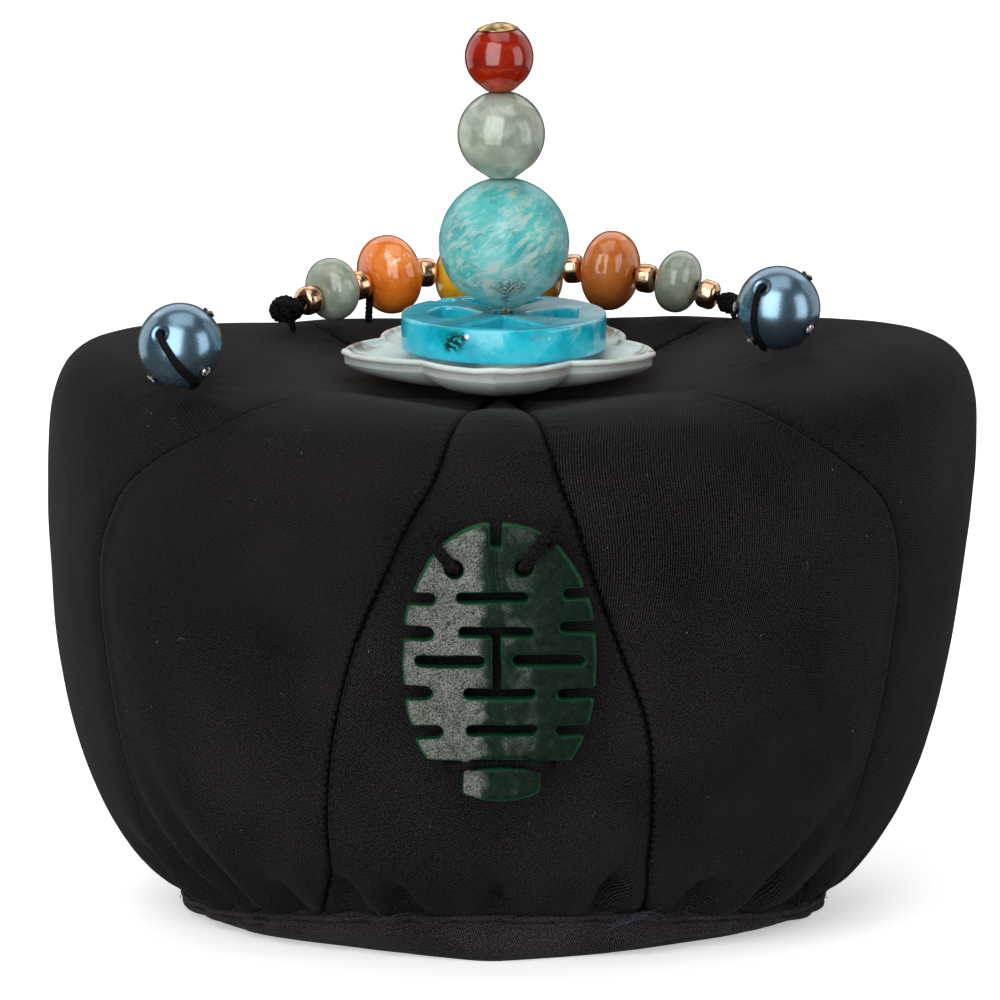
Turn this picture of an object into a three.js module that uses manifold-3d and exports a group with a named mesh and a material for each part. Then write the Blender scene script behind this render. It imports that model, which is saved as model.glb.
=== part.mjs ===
// A padded bridal coronet in black satin. Eight stuffed gores meet at the middle of the top and close over
// a hollow for the crown of the head, with a hem band gathered under them. A finial of stone beads stands on
// a jade flower at the top, a pierced jade plaque is tied to the front, two pearl buttons sit on the side
// gores, and a strand of stone beads is sewn along the back of the top.
// Millimetres, +Z up, and the front faces -Y. The origin is the middle of the underside of the box round it.
import * as THREE from "three";
import { mergeVertices } from "three/addons/utils/BufferGeometryUtils.js";
import Module from "manifold-3d";

const wasm = await Module();
wasm.setup();

const { sin, cos, PI, sqrt, abs, sign, pow, exp, min, max } = Math;
const rad = THREE.MathUtils.degToRad;
const vec = (x, y, z) => new THREE.Vector3(x, y, z);

// Gaps between pieces that touch on the real thing.
const GAP = 0.35;
const SEAM_GAP = 0.4;

// The cover's rings, from the finial's hole out over the top and down to the gathers. left, right and front
// are how far the ring reaches, the heights are at the four sides, and the seams are angles from the front:
// of the front gore's edge, of the side gore's front edge, and how far both are turned.
const REACHES = ["left", "right", "front"];
const HEIGHTS = ["leftZ", "rightZ", "frontZ", "backZ"];
const COLUMNS = [...REACHES, ...HEIGHTS, "centreSeam", "sideSeam", "seamTurn"];
const RINGS = [
  /* hole     */ [4, 4, 4, 91.5, 91.5, 91.5, 91.5, 22, 50, -1],
  /* navel    */ [12, 12, 11.5, 92.2, 92.2, 91.8, 91.9, 15, 50, -1],
  /* dimple   */ [27, 27, 25, 95.2, 95.6, 93.2, 93.8, 9, 49, -1],
  /* saddle   */ [42, 43.5, 38, 98.4, 99.4, 95.4, 96.6, 6.8, 44, -1],
  /* crown    */ [56, 60, 49, 100.9, 102.3, 95.8, 97.4, 6.6, 38.5, -1],
  /* brow     */ [67.5, 72.5, 58, 100.9, 101.8, 93, 94.6, 6.9, 39, -1],
  /* shoulder */ [75, 80, 65, 98.4, 98.2, 87, 88.2, 7.9, 42.5, -1],
  /* cheek    */ [78.8, 83, 69, 91.8, 91.2, 79, 79.5, 10.3, 49, -1.5],
  /* temple   */ [79.9, 83.2, 71, 82, 82, 69, 69, 13, 56, -2],
  /* flank    */ [79.9, 81.8, 71.3, 67, 67, 57, 57, 16.6, 60.5, -2.2],
  /* waist    */ [78.2, 78.4, 69.8, 45, 45, 42, 42, 20.5, 60.5, -1.6],
  /* hip      */ [73.3, 73, 65.8, 25.5, 25.5, 27, 27, 23, 61.5, -2],
  /* tuck     */ [66.1, 65.8, 60.5, 11.5, 11.5, 16, 16, 25, 64.5, -2.5],
  /* gather   */ [56.6, 57, 53.5, 2.4, 2.4, 8, 8, 29.5, 71, -4],
].map((row) => Object.fromEntries(COLUMNS.map((name, k) => [name, row[k]])));
const SEAM_DRAW = 1.5; // how deep the stitching draws the cloth in
const RIGHT_GORES = ["front_right", "side_right", "back_right"];
const LEFT_GORES = ["back_left", "side_left", "front_left"];
const GORES = ["front", ...RIGHT_GORES, "back", ...LEFT_GORES];
const GORE_COLUMNS = 8;
const RING_STEPS = 15;

// Gathers that run up from the hem: where, how deep, how wide, how far up, and how far they lean.
const FOLD_COLUMNS = ["angle", "depth", "width", "reach", "lean"];
const FOLDS = [
  [-57, 2.2, 3.2, 20, 4],
  [-49, 2.4, 3.0, 24, 6],
  [-38, 1.2, 3.0, 9, 1],
  [-27, 2.2, 3.4, 9, 0],
  [-17, 2.0, 2.6, 8, 1],
  [-1, 1.6, 2.2, 11, 0],
  [17, 2.0, 2.4, 15, -2],
  [35, 2.0, 3.4, 8, 0],
  [46, 2.2, 2.4, 18, -7],
  [62, 1.6, 3.4, 12, -4],
  [76, 1.6, 3.6, 14, -2],
  [-70, 1.4, 3.6, 12, 3],
].map((row) => Object.fromEntries(FOLD_COLUMNS.map((name, k) => [name, row[k]])));

// The hollow for the head, and the hem band under the gores.
const MOUTH_RADIUS = 46;
const HOLLOW_TOP = 52;
const HOLLOW_ROUNDNESS = 0.7;
const HEM_BASE_SIDE = 53.2;
const HEM_BASE_FRONT = 50;
const HEM_INNER = 45.6;
const HEM_TUCK = 0.985;
const HEM_BULGE = 0.8;
const HEM_COLUMNS = 48;

// The finial on its post.
const FINIAL_X = 0.9;
const FINIAL_LEAN = -1.5; // degrees, towards the viewer's left
const POST_RADIUS = 0.7;
const POST_SLEEVE_RADIUS = 1.4;
const POST_FOOT_RADIUS = 7;
const STONE_BORE = 1.1;
const STONE_FLAT = 1.8; // the ground flat round each end of a finial bead's bore
const STONE_LIFT = 1; // from the wheel to the lowest bead
const FLOWER_TIP = 28.9;
const FLOWER_NOTCH = 22.4;
const FLOWER_PETALS = 5;
const FLOWER_TURN = -2.5;
const FLOWER_RIM_Z = 99.7;
const FLOWER_BELLY_Z = 93.9;
const FLOWER_FLOOR_Z = 96.2;
const FLOWER_BOSS_Z = 98.9;
const FLOWER_LIP = 1;
const FLOWER_X = -0.4;
const WHEEL_RADIUS = 18;
const WHEEL_BASE_Z = 99.3;
const WHEEL_TOP_Z = 105.4;
const WHEEL_BEVEL = 0.5;
const WHEEL_X = 0.2;
const WHEEL_TILT = 1.25; // degrees, front down
const FAN_OPENING = { inner: 2.6, outer: 15.4, half: 28 };
const DROP_OPENING = { inner: 4, outer: 13.4, half: 6.2 };
const FINIAL_DIAMETERS = { amazonite: 22.9, aventurine: 15.4, carnelian: 12.1 };
const CAP_RADIUS = 3.5;
const CAP_HEIGHT = 1.5;

// The pierced plaque: its half width and half height, and its slots and side notches as
// centre x, centre y, length and width seen from the front.
const PLAQUE_HALF_WIDTH = 16.7;
const PLAQUE_HALF_HEIGHT = 24.3;
const PLAQUE_THICKNESS = 3.4;
const PLAQUE_BEVEL = 0.5;
const PLAQUE_X = -0.6;
const PLAQUE_Z = 56.5;
const PLAQUE_STAND_OFF = 0.5;
const TIE_HOLE_RADIUS = 1.6;
const TIE_HOLES = [
  [-7.7, 16.4],
  [4.1, 16.6],
];
const SLOT_COLUMNS = ["x", "y", "length", "width"];
const SLOTS = [
  [-1.2, 11.5, 12.4, 1.8],
  [-0.6, 5.5, 12.8, 1.8],
  [-8.5, 0.3, 12, 2],
  [8.4, 0.5, 12.4, 2],
  [0.1, -5.2, 12.4, 1.9],
  [0.4, -11.6, 12.2, 1.9],
  [0.2, -17.6, 11.4, 1.7],
].map((row) => Object.fromEntries(SLOT_COLUMNS.map((name, k) => [name, row[k]])));
const NOTCH_COLUMNS = ["inner", "y", "width"];
const NOTCHES = [
  [-10.9, 11.2, 2.1],
  [10.7, 12.1, 2.1],
  [-11.2, 5.2, 2.4],
  [10.2, 6.1, 2.2],
  [-11.5, -5.2, 2.4],
  [9.8, -5.3, 2.1],
  [-9.6, -12, 2.3],
  [9.6, -11.8, 2],
].map((row) => Object.fromEntries(NOTCH_COLUMNS.map((name, k) => [name, row[k]])));
const TOP_SLIT = { x: -0.6, depth: 4.2, width: 2 };
const MIDDLE_SLIT = { x: -0.5, y: 0.1, height: 10.8, width: 1.5 };
const TAB = { x: 0.4, halfWidth: 6.6, shoulder: -17 };

// The cords that tie the trimmings down.
const TIE_RADIUS = 0.75;

// The pearl buttons: the ring and angle where each sits, the way its hole faces, and the way its cord takes
// over the pearl into the cloth. These and the stones' directions are given as they look from the front and a
// little above, to the right and up, in pearl radii. The stones that can't be seen from there face back.
const PEARL_RADIUS = 7.35;
const PEARL_BORE = 0.9;
const PEARL_CORD = 0.55;
const PEARL_SEAT = 0.1; // above the cloth
const VIEW_LIFT = 9.7;
const PEARLS = [
  {
    name: "left",
    ring: 4.95,
    angle: -55,
    hole: [-0.47, 0.26],
    cord: [
      [-0.28, -0.12],
      [0.01, -0.53],
      [0.3, -0.8],
      [0.36, -0.9],
    ],
    stones: [
      [0.66, 0.75],
      [0.6, -0.6],
      [-0.64, -0.76],
    ],
    hiddenStones: [
      [0.3, 0.3],
      [-0.5, 0.35],
    ],
  },
  {
    name: "right",
    ring: 3.45,
    angle: 75,
    hole: [-0.43, 0.485],
    cord: [
      [-0.53, 0.15],
      [-0.58, -0.22],
      [-0.54, -0.58],
      [-0.4, -0.86],
    ],
    stones: [
      [0.67, 0.74],
      [0.7, -0.49],
      [-0.63, -0.77],
      [-0.99, 0],
    ],
    hiddenStones: [[0.3, 0.3]],
  },
];
const STONE_RADIUS = 1.05;
const STONE_HEIGHT = 0.8;

// The strand: the line its thread follows, and its beads from the wearer's right to the left.
const STRAND_LINE = [
  [-41.5, 24.5, 101.9],
  [-34.6, 31.5, 102.5],
  [-30.4, 35.6, 103.9],
  [-26, 39.4, 103.9],
  [-19.7, 44.2, 105.4],
  [-12.8, 47.3, 105.1],
  [-6, 49.1, 104.3],
  [5.6, 49.3, 104.4],
  [12.2, 47.8, 105.7],
  [19, 45.4, 105.8],
  [25.5, 42.6, 104.8],
  [31, 40.6, 104.6],
  [36.6, 38.4, 102.5],
  [42.5, 36.4, 101.2],
];
const STRAND_THREAD = 0.45;
const STRAND_BORE = 1.0;
const STRAND_GAP = 0.55; // between beads
const STRAND_SHIFT = 1.8; // of the beads along the thread, towards the viewer's right
const BEAD_SIZES = {
  spacer: { across: 5.2, along: 3.5 },
  green: { across: 11.2, along: 7.4 },
  orange: { across: 14.2, along: 9.5 },
  amber: { across: 12, along: 9 },
};
const STRAND_BEADS = [
  "spacer",
  "green",
  "spacer",
  "orange",
  "spacer",
  "amber",
  "spacer",
  "amber",
  "spacer",
  "orange",
  "spacer",
  "green",
  "spacer",
];
const KNOT_RADIUS = 2.3;
const KNOT_SHARES = [0.036, 0.982]; // of the line's length
const KNOT_FLATNESS = 0.85;
const KNOT_DROP = 0.8; // under the line, onto the cloth

const MATERIALS = {
  satin: { color: 0x141317, roughness: 0.55, metalness: 0 },
  celadon: { color: 0xc3d0ca, roughness: 0.25, metalness: 0 },
  turquoise: { color: 0x35b4cf, roughness: 0.3, metalness: 0 },
  amazonite: { color: 0x6fc4bd, roughness: 0.25, metalness: 0 },
  aventurine: { color: 0x9fb8a2, roughness: 0.2, metalness: 0 },
  carnelian: { color: 0xb03010, roughness: 0.15, metalness: 0 },
  gilt: { color: 0xc8a24a, roughness: 0.35, metalness: 1 },
  copper: { color: 0xb5835a, roughness: 0.3, metalness: 1 },
  jade: { color: 0x2c5a40, roughness: 0.3, metalness: 0 },
  pearl: { color: 0x5f88a5, roughness: 0.2, metalness: 0.3 },
  crystal: { color: 0xe8ecef, roughness: 0.05, metalness: 0.2 },
  orange_stone: { color: 0xd9701f, roughness: 0.2, metalness: 0 },
  amber_stone: { color: 0xe0940f, roughness: 0.2, metalness: 0 },
  cord: { color: 0x0b0b0c, roughness: 0.8, metalness: 0 },
};

function mesh(name, geometry, look) {
  const made = new THREE.Mesh(geometry, new THREE.MeshStandardMaterial(MATERIALS[look]));
  made.name = name;
  return made;
}

// A column of the ring table at a place between its rows, on a smooth curve through them.
function ringValue(column, place) {
  const last = RINGS.length - 1;
  const k = min(Math.floor(place), last - 1);
  const t = place - k;
  const at = (n) => RINGS[min(max(n, 0), last)][column];
  const [a, b, c, d] = [at(k - 1), at(k), at(k + 1), at(k + 2)];
  return b + 0.5 * t * (c - a + t * (2 * a - 5 * b + 4 * c - d + t * (3 * (b - c) + d - a)));
}

// A point of the cover before the seams draw it in. The angle is in degrees from the front, positive to the
// viewer's right.
function coverPoint(place, angle) {
  const a = rad(angle);
  const side = sin(a) < 0 ? "left" : "right";
  const middleZ = ringValue(cos(a) > 0 ? "frontZ" : "backZ", place);
  const z = middleZ + (ringValue(`${side}Z`, place) - middleZ) * sin(a) ** 2;
  return vec(ringValue(side, place) * sin(a), -ringValue("front", place) * cos(a), z);
}

function coverNormal(place, angle) {
  const step = 0.05;
  const last = RINGS.length - 1;
  const down = coverPoint(min(place + step, last), angle).sub(coverPoint(max(place - step, 0), angle));
  const round = coverPoint(place, angle + 1).sub(coverPoint(place, angle - 1));
  return down.cross(round).normalize();
}

// The angle of each seam on a ring, in the order of the gores: seam k is where gore k begins.
function seamAngles(place) {
  const centre = ringValue("centreSeam", place);
  const side = ringValue("sideSeam", place);
  const turn = ringValue("seamTurn", place);
  const fromFront = [-centre, centre, side, 180 - side, 180 - centre, 180 + centre, 180 + side, 360 - side];
  return [...fromFront, 360 - centre].map((angle) => angle + turn);
}

function nearestTurn(angle, target) {
  return angle - 360 * Math.round((angle - target) / 360);
}

// How far the gathers press the cloth in. They mirror on the back.
function foldDepth(place, angle) {
  const point = coverPoint(place, angle);
  const height = point.z - coverPoint(RINGS.length - 1, angle).z;
  const front = cos(rad(angle)) > 0 ? angle : 180 - angle;
  return FOLDS.reduce((sum, fold) => {
    const centre = fold.angle - (fold.lean * height) / fold.reach;
    const across = nearestTurn(front, centre) - centre;
    const fade = exp(-((height / fold.reach) ** 2) * 1.5);
    return sum + fold.depth * fade * exp(-((across / fold.width) ** 2));
  }, 0);
}

function sewnPoint(place, angle, across) {
  const inward = SEAM_DRAW * abs(across) ** 3 + foldDepth(place, angle);
  return coverPoint(place, angle).addScaledVector(coverNormal(place, angle), -inward);
}

// A point on the cover at any angle, drawn in as its gore is there.
function clothPoint(place, angle) {
  const seams = seamAngles(place);
  const turned = nearestTurn(angle, (seams[0] + seams.at(-1)) / 2);
  const k = seams.findIndex((seam, n) => turned >= seam && turned <= seams[n + 1]);
  return sewnPoint(place, angle, (2 * (turned - seams[k])) / (seams[k + 1] - seams[k]) - 1);
}

// The hem's height under the gathers at an angle.
function gatherZ(angle) {
  return coverPoint(RINGS.length - 1, angle).z;
}

// A point of the hollow's wall. The share runs from the hole at the top to the mouth.
function hollowPoint(share, angle) {
  const w = (share * PI) / 2;
  const hole = RINGS[0].left;
  const radius = hole + (MOUTH_RADIUS - hole) * pow(sin(w), HOLLOW_ROUNDNESS);
  const mouthZ = gatherZ(angle);
  const z = mouthZ + (HOLLOW_TOP - mouthZ) * pow(max(cos(w), 0), HOLLOW_ROUNDNESS);
  return vec(radius * sin(rad(angle)), -radius * cos(rad(angle)), z);
}

// A closed solid from two grids of the same size, an outer and an inner skin.
function shellBetween(outer, inner) {
  const rows = outer.length;
  const columns = outer[0].length;
  const points = [...outer.flat(), ...inner.flat()];
  const out = (i, j) => i * columns + j;
  const within = (i, j) => rows * columns + i * columns + j;
  const index = [];
  const quad = (a, b, c, d) => index.push(a, b, c, a, c, d);
  for (let i = 0; i + 1 < rows; i++) {
    for (let j = 0; j + 1 < columns; j++) {
      quad(out(i, j), out(i + 1, j), out(i + 1, j + 1), out(i, j + 1));
      quad(within(i, j), within(i, j + 1), within(i + 1, j + 1), within(i + 1, j));
    }
    // The two seam faces split their quads along the same diagonal, so that neighbours stay parallel.
    const far = columns - 1;
    index.push(out(i, 0), within(i + 1, 0), out(i + 1, 0), out(i, 0), within(i, 0), within(i + 1, 0));
    index.push(out(i, far), out(i + 1, far), within(i + 1, far));
    index.push(out(i, far), within(i + 1, far), within(i, far));
  }
  for (let j = 0; j + 1 < columns; j++) {
    quad(out(0, j), out(0, j + 1), within(0, j + 1), within(0, j));
    quad(out(rows - 1, j + 1), out(rows - 1, j), within(rows - 1, j), within(rows - 1, j + 1));
  }
  const geometry = new THREE.BufferGeometry().setFromPoints(points);
  geometry.setIndex(index);
  return geometry;
}

// One stuffed gore: satin outside, lining inside, padding between.
function gore(k) {
  const outer = [];
  const inner = [];
  for (let i = 0; i <= RING_STEPS; i++) {
    const share = i / RING_STEPS;
    const place = share * (RINGS.length - 1);
    const seams = seamAngles(place);
    const [from, to] = [seams[k], seams[k + 1]];
    const middle = (from + to) / 2;
    const outerEdge = (SEAM_GAP / 2 / coverPoint(place, middle).setZ(0).length()) * (180 / PI);
    const innerEdge = (SEAM_GAP / 2 / hollowPoint(share, middle).setZ(0).length()) * (180 / PI);
    outer.push([]);
    inner.push([]);
    for (let j = 0; j <= GORE_COLUMNS; j++) {
      const across = (2 * j) / GORE_COLUMNS - 1;
      const angle = (half) => middle + across * half;
      outer[i].push(sewnPoint(place, angle((to - from) / 2 - outerEdge), across));
      inner[i].push(hollowPoint(share, angle((to - from) / 2 - innerEdge)));
    }
  }
  return mesh(`gore_${GORES[k]}`, shellBetween(outer, inner), "satin");
}

// A closed ring from rows of points that each go once round, from the outside top down and up the inside.
function ringSolid(rows) {
  const columns = rows[0].length;
  const index = [];
  for (let i = 0; i < rows.length; i++) {
    const next = (i + 1) % rows.length;
    for (let j = 0; j < columns; j++) {
      const n = (j + 1) % columns;
      const [a, b, c, d] = [i * columns + j, next * columns + j, next * columns + n, i * columns + n];
      index.push(a, b, c, a, c, d);
    }
  }
  const geometry = new THREE.BufferGeometry().setFromPoints(rows.flat());
  geometry.setIndex(index);
  return geometry;
}

function aroundFront(steps, pointAt) {
  return Array.from({ length: steps }, (_, j) => pointAt((360 * j) / steps));
}

// The hem band: a soft ring from just inside the gathers in to a flat base.
function hemBand() {
  const outside = [0, 0.35, 0.7, 1].map((share) =>
    aroundFront(HEM_COLUMNS, (angle) => {
      const edge = coverPoint(RINGS.length - 1, angle).multiplyScalar(HEM_TUCK);
      const base = vec(HEM_BASE_SIDE * sin(rad(angle)), -HEM_BASE_FRONT * cos(rad(angle)), 0);
      const swell = 1 + (HEM_BULGE * sin(share * PI)) / HEM_BASE_FRONT;
      const point = edge.lerp(base, share).multiply(vec(swell, swell, 1));
      return point.setZ((gatherZ(angle) - GAP) * (1 - share));
    }),
  );
  const inside = [1, 0].map((share) =>
    aroundFront(HEM_COLUMNS, (angle) => {
      const z = (gatherZ(angle) - GAP) * (1 - share);
      return vec(HEM_INNER * sin(rad(angle)), -HEM_INNER * cos(rad(angle)), z);
    }),
  );
  return mesh("hem_band", ringSolid([...outside, ...inside]), "satin");
}

// A turned solid about +Z from a profile of [radius, z] that closes on itself or on the axis.
function turned(profile, segments) {
  const points = profile.map(([r, z]) => new THREE.Vector2(r, z));
  return new THREE.LatheGeometry(points, segments).rotateX(PI / 2);
}

// A bored bead about +Z: an ellipse of the two half sizes, cut flat at both ends round a straight hole.
function beadGeometry(across, along, bore, flat, arcSteps, segments) {
  const start = Math.asin(flat / across);
  const arc = [];
  for (let k = 0; k <= arcSteps; k++) {
    const t = PI - start - ((PI - 2 * start) * k) / arcSteps;
    arc.push([across * sin(t), along * cos(t)]);
  }
  const half = along * cos(start);
  const ends = flat > bore ? [[bore, half], [bore, -half]] : [];
  return turned([...arc, ...ends, arc[0]], segments);
}

function finial() {
  const group = new THREE.Group();
  const pivotZ = RINGS[0].frontZ;
  group.position.set(FINIAL_X, 0, pivotZ);
  group.rotation.y = rad(FINIAL_LEAN);
  const stones = new THREE.Group();
  stones.position.z = WHEEL_TOP_Z + STONE_LIFT - pivotZ;
  let z = 0;
  for (const [name, across] of Object.entries(FINIAL_DIAMETERS)) {
    const geometry = beadGeometry(across / 2, across / 2, STONE_BORE, STONE_FLAT, 10, 16);
    const stone = mesh(`finial_${name}`, geometry, name);
    const half = sqrt((across / 2) ** 2 - STONE_FLAT ** 2);
    stone.position.z = z + half;
    z += 2 * half + GAP;
    stones.add(stone);
  }
  const capProfile = [
    [0, 0],
    [CAP_RADIUS * 0.9, 0],
    [CAP_RADIUS, 0.3],
    [CAP_RADIUS * 0.75, CAP_HEIGHT * 0.66],
    [CAP_RADIUS * 0.4, CAP_HEIGHT * 0.93],
    [0, CAP_HEIGHT],
  ];
  const cap = mesh("finial_cap", turned(capProfile, 14), "gilt");
  cap.position.z = z;
  stones.add(cap);
  group.add(stones);

  const footZ = HOLLOW_TOP - 2 * GAP - pivotZ;
  const postTop = stones.position.z + z - GAP;
  const postProfile = [
    [0, footZ - 1],
    [POST_FOOT_RADIUS, footZ - 1],
    [POST_FOOT_RADIUS, footZ],
    [POST_SLEEVE_RADIUS, footZ],
    [POST_SLEEVE_RADIUS, 1.5],
    [POST_RADIUS, 1.5],
    [POST_RADIUS, postTop],
    [0, postTop],
  ];
  group.add(mesh("finial_post", turned(postProfile, 12), "copper"));
  return group;
}

// The jade flower plate: five cupped petals with a point each, round a raised middle.
function flowerPlate() {
  const hole = POST_RADIUS + 1.9;
  const ring = (share, zAt) =>
    aroundFront(FLOWER_PETALS * 8, (angle) => {
      const petal = abs((((angle * FLOWER_PETALS) / 360) % 1) - 0.5) * 2; // 1 at a tip, 0 at a notch
      const bulge = 0.75 * sin((petal * PI) / 2) + 0.25 * petal ** 4;
      const edge = FLOWER_NOTCH + (FLOWER_TIP - FLOWER_NOTCH) * bulge;
      const radius = hole + (edge - hole) * share;
      return vec(radius * sin(rad(angle)), -radius * cos(rad(angle)), zAt(share));
    });
  const belly = (share) => FLOWER_BELLY_Z + (FLOWER_RIM_Z - FLOWER_LIP - FLOWER_BELLY_Z) * share ** 8;
  const dish = (share) => FLOWER_FLOOR_Z + (FLOWER_RIM_Z - FLOWER_FLOOR_Z) * share ** 3;
  const rows = [ring(0, () => FLOWER_BOSS_Z), ring(0.22, () => FLOWER_BOSS_Z)];
  rows.push(...[0.3, 0.6, 0.85, 1].map((share) => ring(share, dish)));
  rows.push(...[1, 0.92, 0.8, 0].map((share) => ring(share, belly)));
  const plate = mesh("flower_plate", ringSolid(rows), "celadon");
  plate.position.x = FLOWER_X;
  plate.rotation.z = rad(FLOWER_TURN);
  return plate;
}

// The openwork turquoise wheel: four openings leave a hub on four crossed spokes. The front and back ones are
// fans, and the side ones are drops with their points at the hub.
function turquoiseWheel() {
  const shape = new THREE.Shape().absarc(0, 0, WHEEL_RADIUS - WHEEL_BEVEL, 0, 2 * PI);
  shape.holes.push(new THREE.Path().absarc(0, 0, POST_RADIUS + WHEEL_BEVEL + 1.1, 0, 2 * PI, true));
  for (const middle of [-PI / 2, PI / 2]) {
    const { inner, outer } = FAN_OPENING;
    const half = rad(FAN_OPENING.half);
    const fan = new THREE.Path().moveTo(inner * cos(middle), inner * sin(middle));
    fan.lineTo(outer * cos(middle + half), outer * sin(middle + half));
    shape.holes.push(fan.absarc(0, 0, outer, middle + half, middle - half, true));
  }
  for (const side of [-1, 1]) {
    const { inner, outer, half } = DROP_OPENING;
    const [tip, end, neck] = [side * inner, side * outer, side * inner * 1.6];
    const [waist, shoulder] = [side * half * 0.9, side * half * 1.5];
    const drop = new THREE.Path().moveTo(tip, 0);
    drop.bezierCurveTo(neck, waist, end, shoulder, end, 0);
    drop.bezierCurveTo(end, -shoulder, neck, -waist, tip, 0);
    shape.holes.push(drop);
  }
  const options = {
    depth: WHEEL_TOP_Z - WHEEL_BASE_Z - 2 * WHEEL_BEVEL,
    bevelEnabled: true,
    bevelThickness: WHEEL_BEVEL,
    bevelSize: WHEEL_BEVEL,
    bevelSegments: 1,
    curveSegments: 7,
  };
  const wheel = mesh("turquoise_wheel", new THREE.ExtrudeGeometry(shape, options), "turquoise");
  wheel.position.set(WHEEL_X, 0, WHEEL_BASE_Z + WHEEL_BEVEL);
  wheel.rotation.x = rad(WHEEL_TILT);
  return wheel;
}

// A geometry as a solid that can be cut, and a cut solid as a geometry.
function solidOf(geometry) {
  const bare = geometry.clone().deleteAttribute("normal").deleteAttribute("uv");
  const merged = mergeVertices(bare, 1e-4);
  const vertProperties = merged.attributes.position.array;
  const triVerts = new Uint32Array(merged.index.array);
  return new wasm.Manifold(new wasm.Mesh({ numProp: 3, vertProperties, triVerts }));
}

function geometryOf(solid) {
  const { vertProperties, triVerts } = solid.getMesh();
  const geometry = new THREE.BufferGeometry();
  geometry.setAttribute("position", new THREE.BufferAttribute(new Float32Array(vertProperties), 3));
  geometry.setIndex(new THREE.BufferAttribute(triVerts, 1));
  return geometry;
}

// A bar with round ends along x, centred on its point, for cutting slots.
function slotCutter(x, y, length, width, depth) {
  const half = length / 2 - width / 2;
  const shape = new THREE.Shape();
  shape.absarc(half, 0, width / 2, -PI / 2, PI / 2);
  shape.absarc(-half, 0, width / 2, PI / 2, (3 * PI) / 2);
  const options = { depth, bevelEnabled: false, curveSegments: 4 };
  return new THREE.ExtrudeGeometry(shape, options).translate(x, y, -depth / 2);
}

// The plaque lies in its own x and y, facing +z, and its group turns it to the front.
function plaqueGeometry() {
  const outline = new THREE.Shape();
  const steps = 40;
  for (let k = 0; k < steps; k++) {
    const t = (2 * PI * k) / steps;
    const [w, h] = [PLAQUE_HALF_WIDTH - PLAQUE_BEVEL, PLAQUE_HALF_HEIGHT - PLAQUE_BEVEL];
    const square = 0.92;
    const x = w * sign(cos(t)) * pow(abs(cos(t)), square);
    const y = h * sign(sin(t)) * pow(abs(sin(t)), square);
    outline[k ? "lineTo" : "moveTo"](x, y);
  }
  const options = {
    depth: PLAQUE_THICKNESS - 2 * PLAQUE_BEVEL,
    bevelEnabled: true,
    bevelThickness: PLAQUE_BEVEL,
    bevelSize: PLAQUE_BEVEL,
    bevelSegments: 1,
  };
  const through = PLAQUE_THICKNESS * 3;
  const blank = new THREE.ExtrudeGeometry(outline, options);
  blank.translate(0, 0, PLAQUE_BEVEL - PLAQUE_THICKNESS / 2);
  const edge = PLAQUE_HALF_WIDTH + 4;
  const cutters = SLOTS.map((slot) => slotCutter(slot.x, slot.y, slot.length, slot.width, through));
  for (const notch of NOTCHES) {
    const outer = sign(notch.inner) * edge;
    const length = abs(outer - notch.inner);
    cutters.push(slotCutter((notch.inner + outer) / 2, notch.y, length, notch.width, through));
  }
  for (const side of [-1, 1]) {
    const corner = new THREE.BoxGeometry(12, PLAQUE_HALF_HEIGHT, through);
    const y = TAB.shoulder - PLAQUE_HALF_HEIGHT / 2;
    cutters.push(corner.translate(TAB.x + side * (TAB.halfWidth + 6), y, 0));
  }
  const slitHeight = TOP_SLIT.depth * 2;
  const slit = new THREE.BoxGeometry(TOP_SLIT.width, slitHeight, through);
  cutters.push(slit.translate(TOP_SLIT.x, PLAQUE_HALF_HEIGHT, 0));
  const middle = new THREE.BoxGeometry(MIDDLE_SLIT.width, MIDDLE_SLIT.height, through);
  cutters.push(middle.translate(MIDDLE_SLIT.x, MIDDLE_SLIT.y, 0));
  for (const [x, y] of TIE_HOLES) {
    const hole = new THREE.CylinderGeometry(TIE_HOLE_RADIUS, TIE_HOLE_RADIUS, through, 14);
    cutters.push(hole.rotateX(PI / 2).translate(x, y, 0));
  }
  const cut = cutters.map(solidOf).reduce((solid, cutter) => solid.subtract(cutter), solidOf(blank));
  return geometryOf(cut);
}

// A round cord of a radius along points, with flat ends.
function cordGeometry(points, radius, steps, sides) {
  const path = new THREE.CatmullRomCurve3(points, false, "centripetal");
  const section = new THREE.Shape();
  for (let k = 0; k < sides; k++) {
    const t = (2 * PI * k) / sides;
    section[k ? "lineTo" : "moveTo"](radius * cos(t), radius * sin(t));
  }
  return new THREE.ExtrudeGeometry(section, { steps, extrudePath: path, bevelEnabled: false });
}

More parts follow.
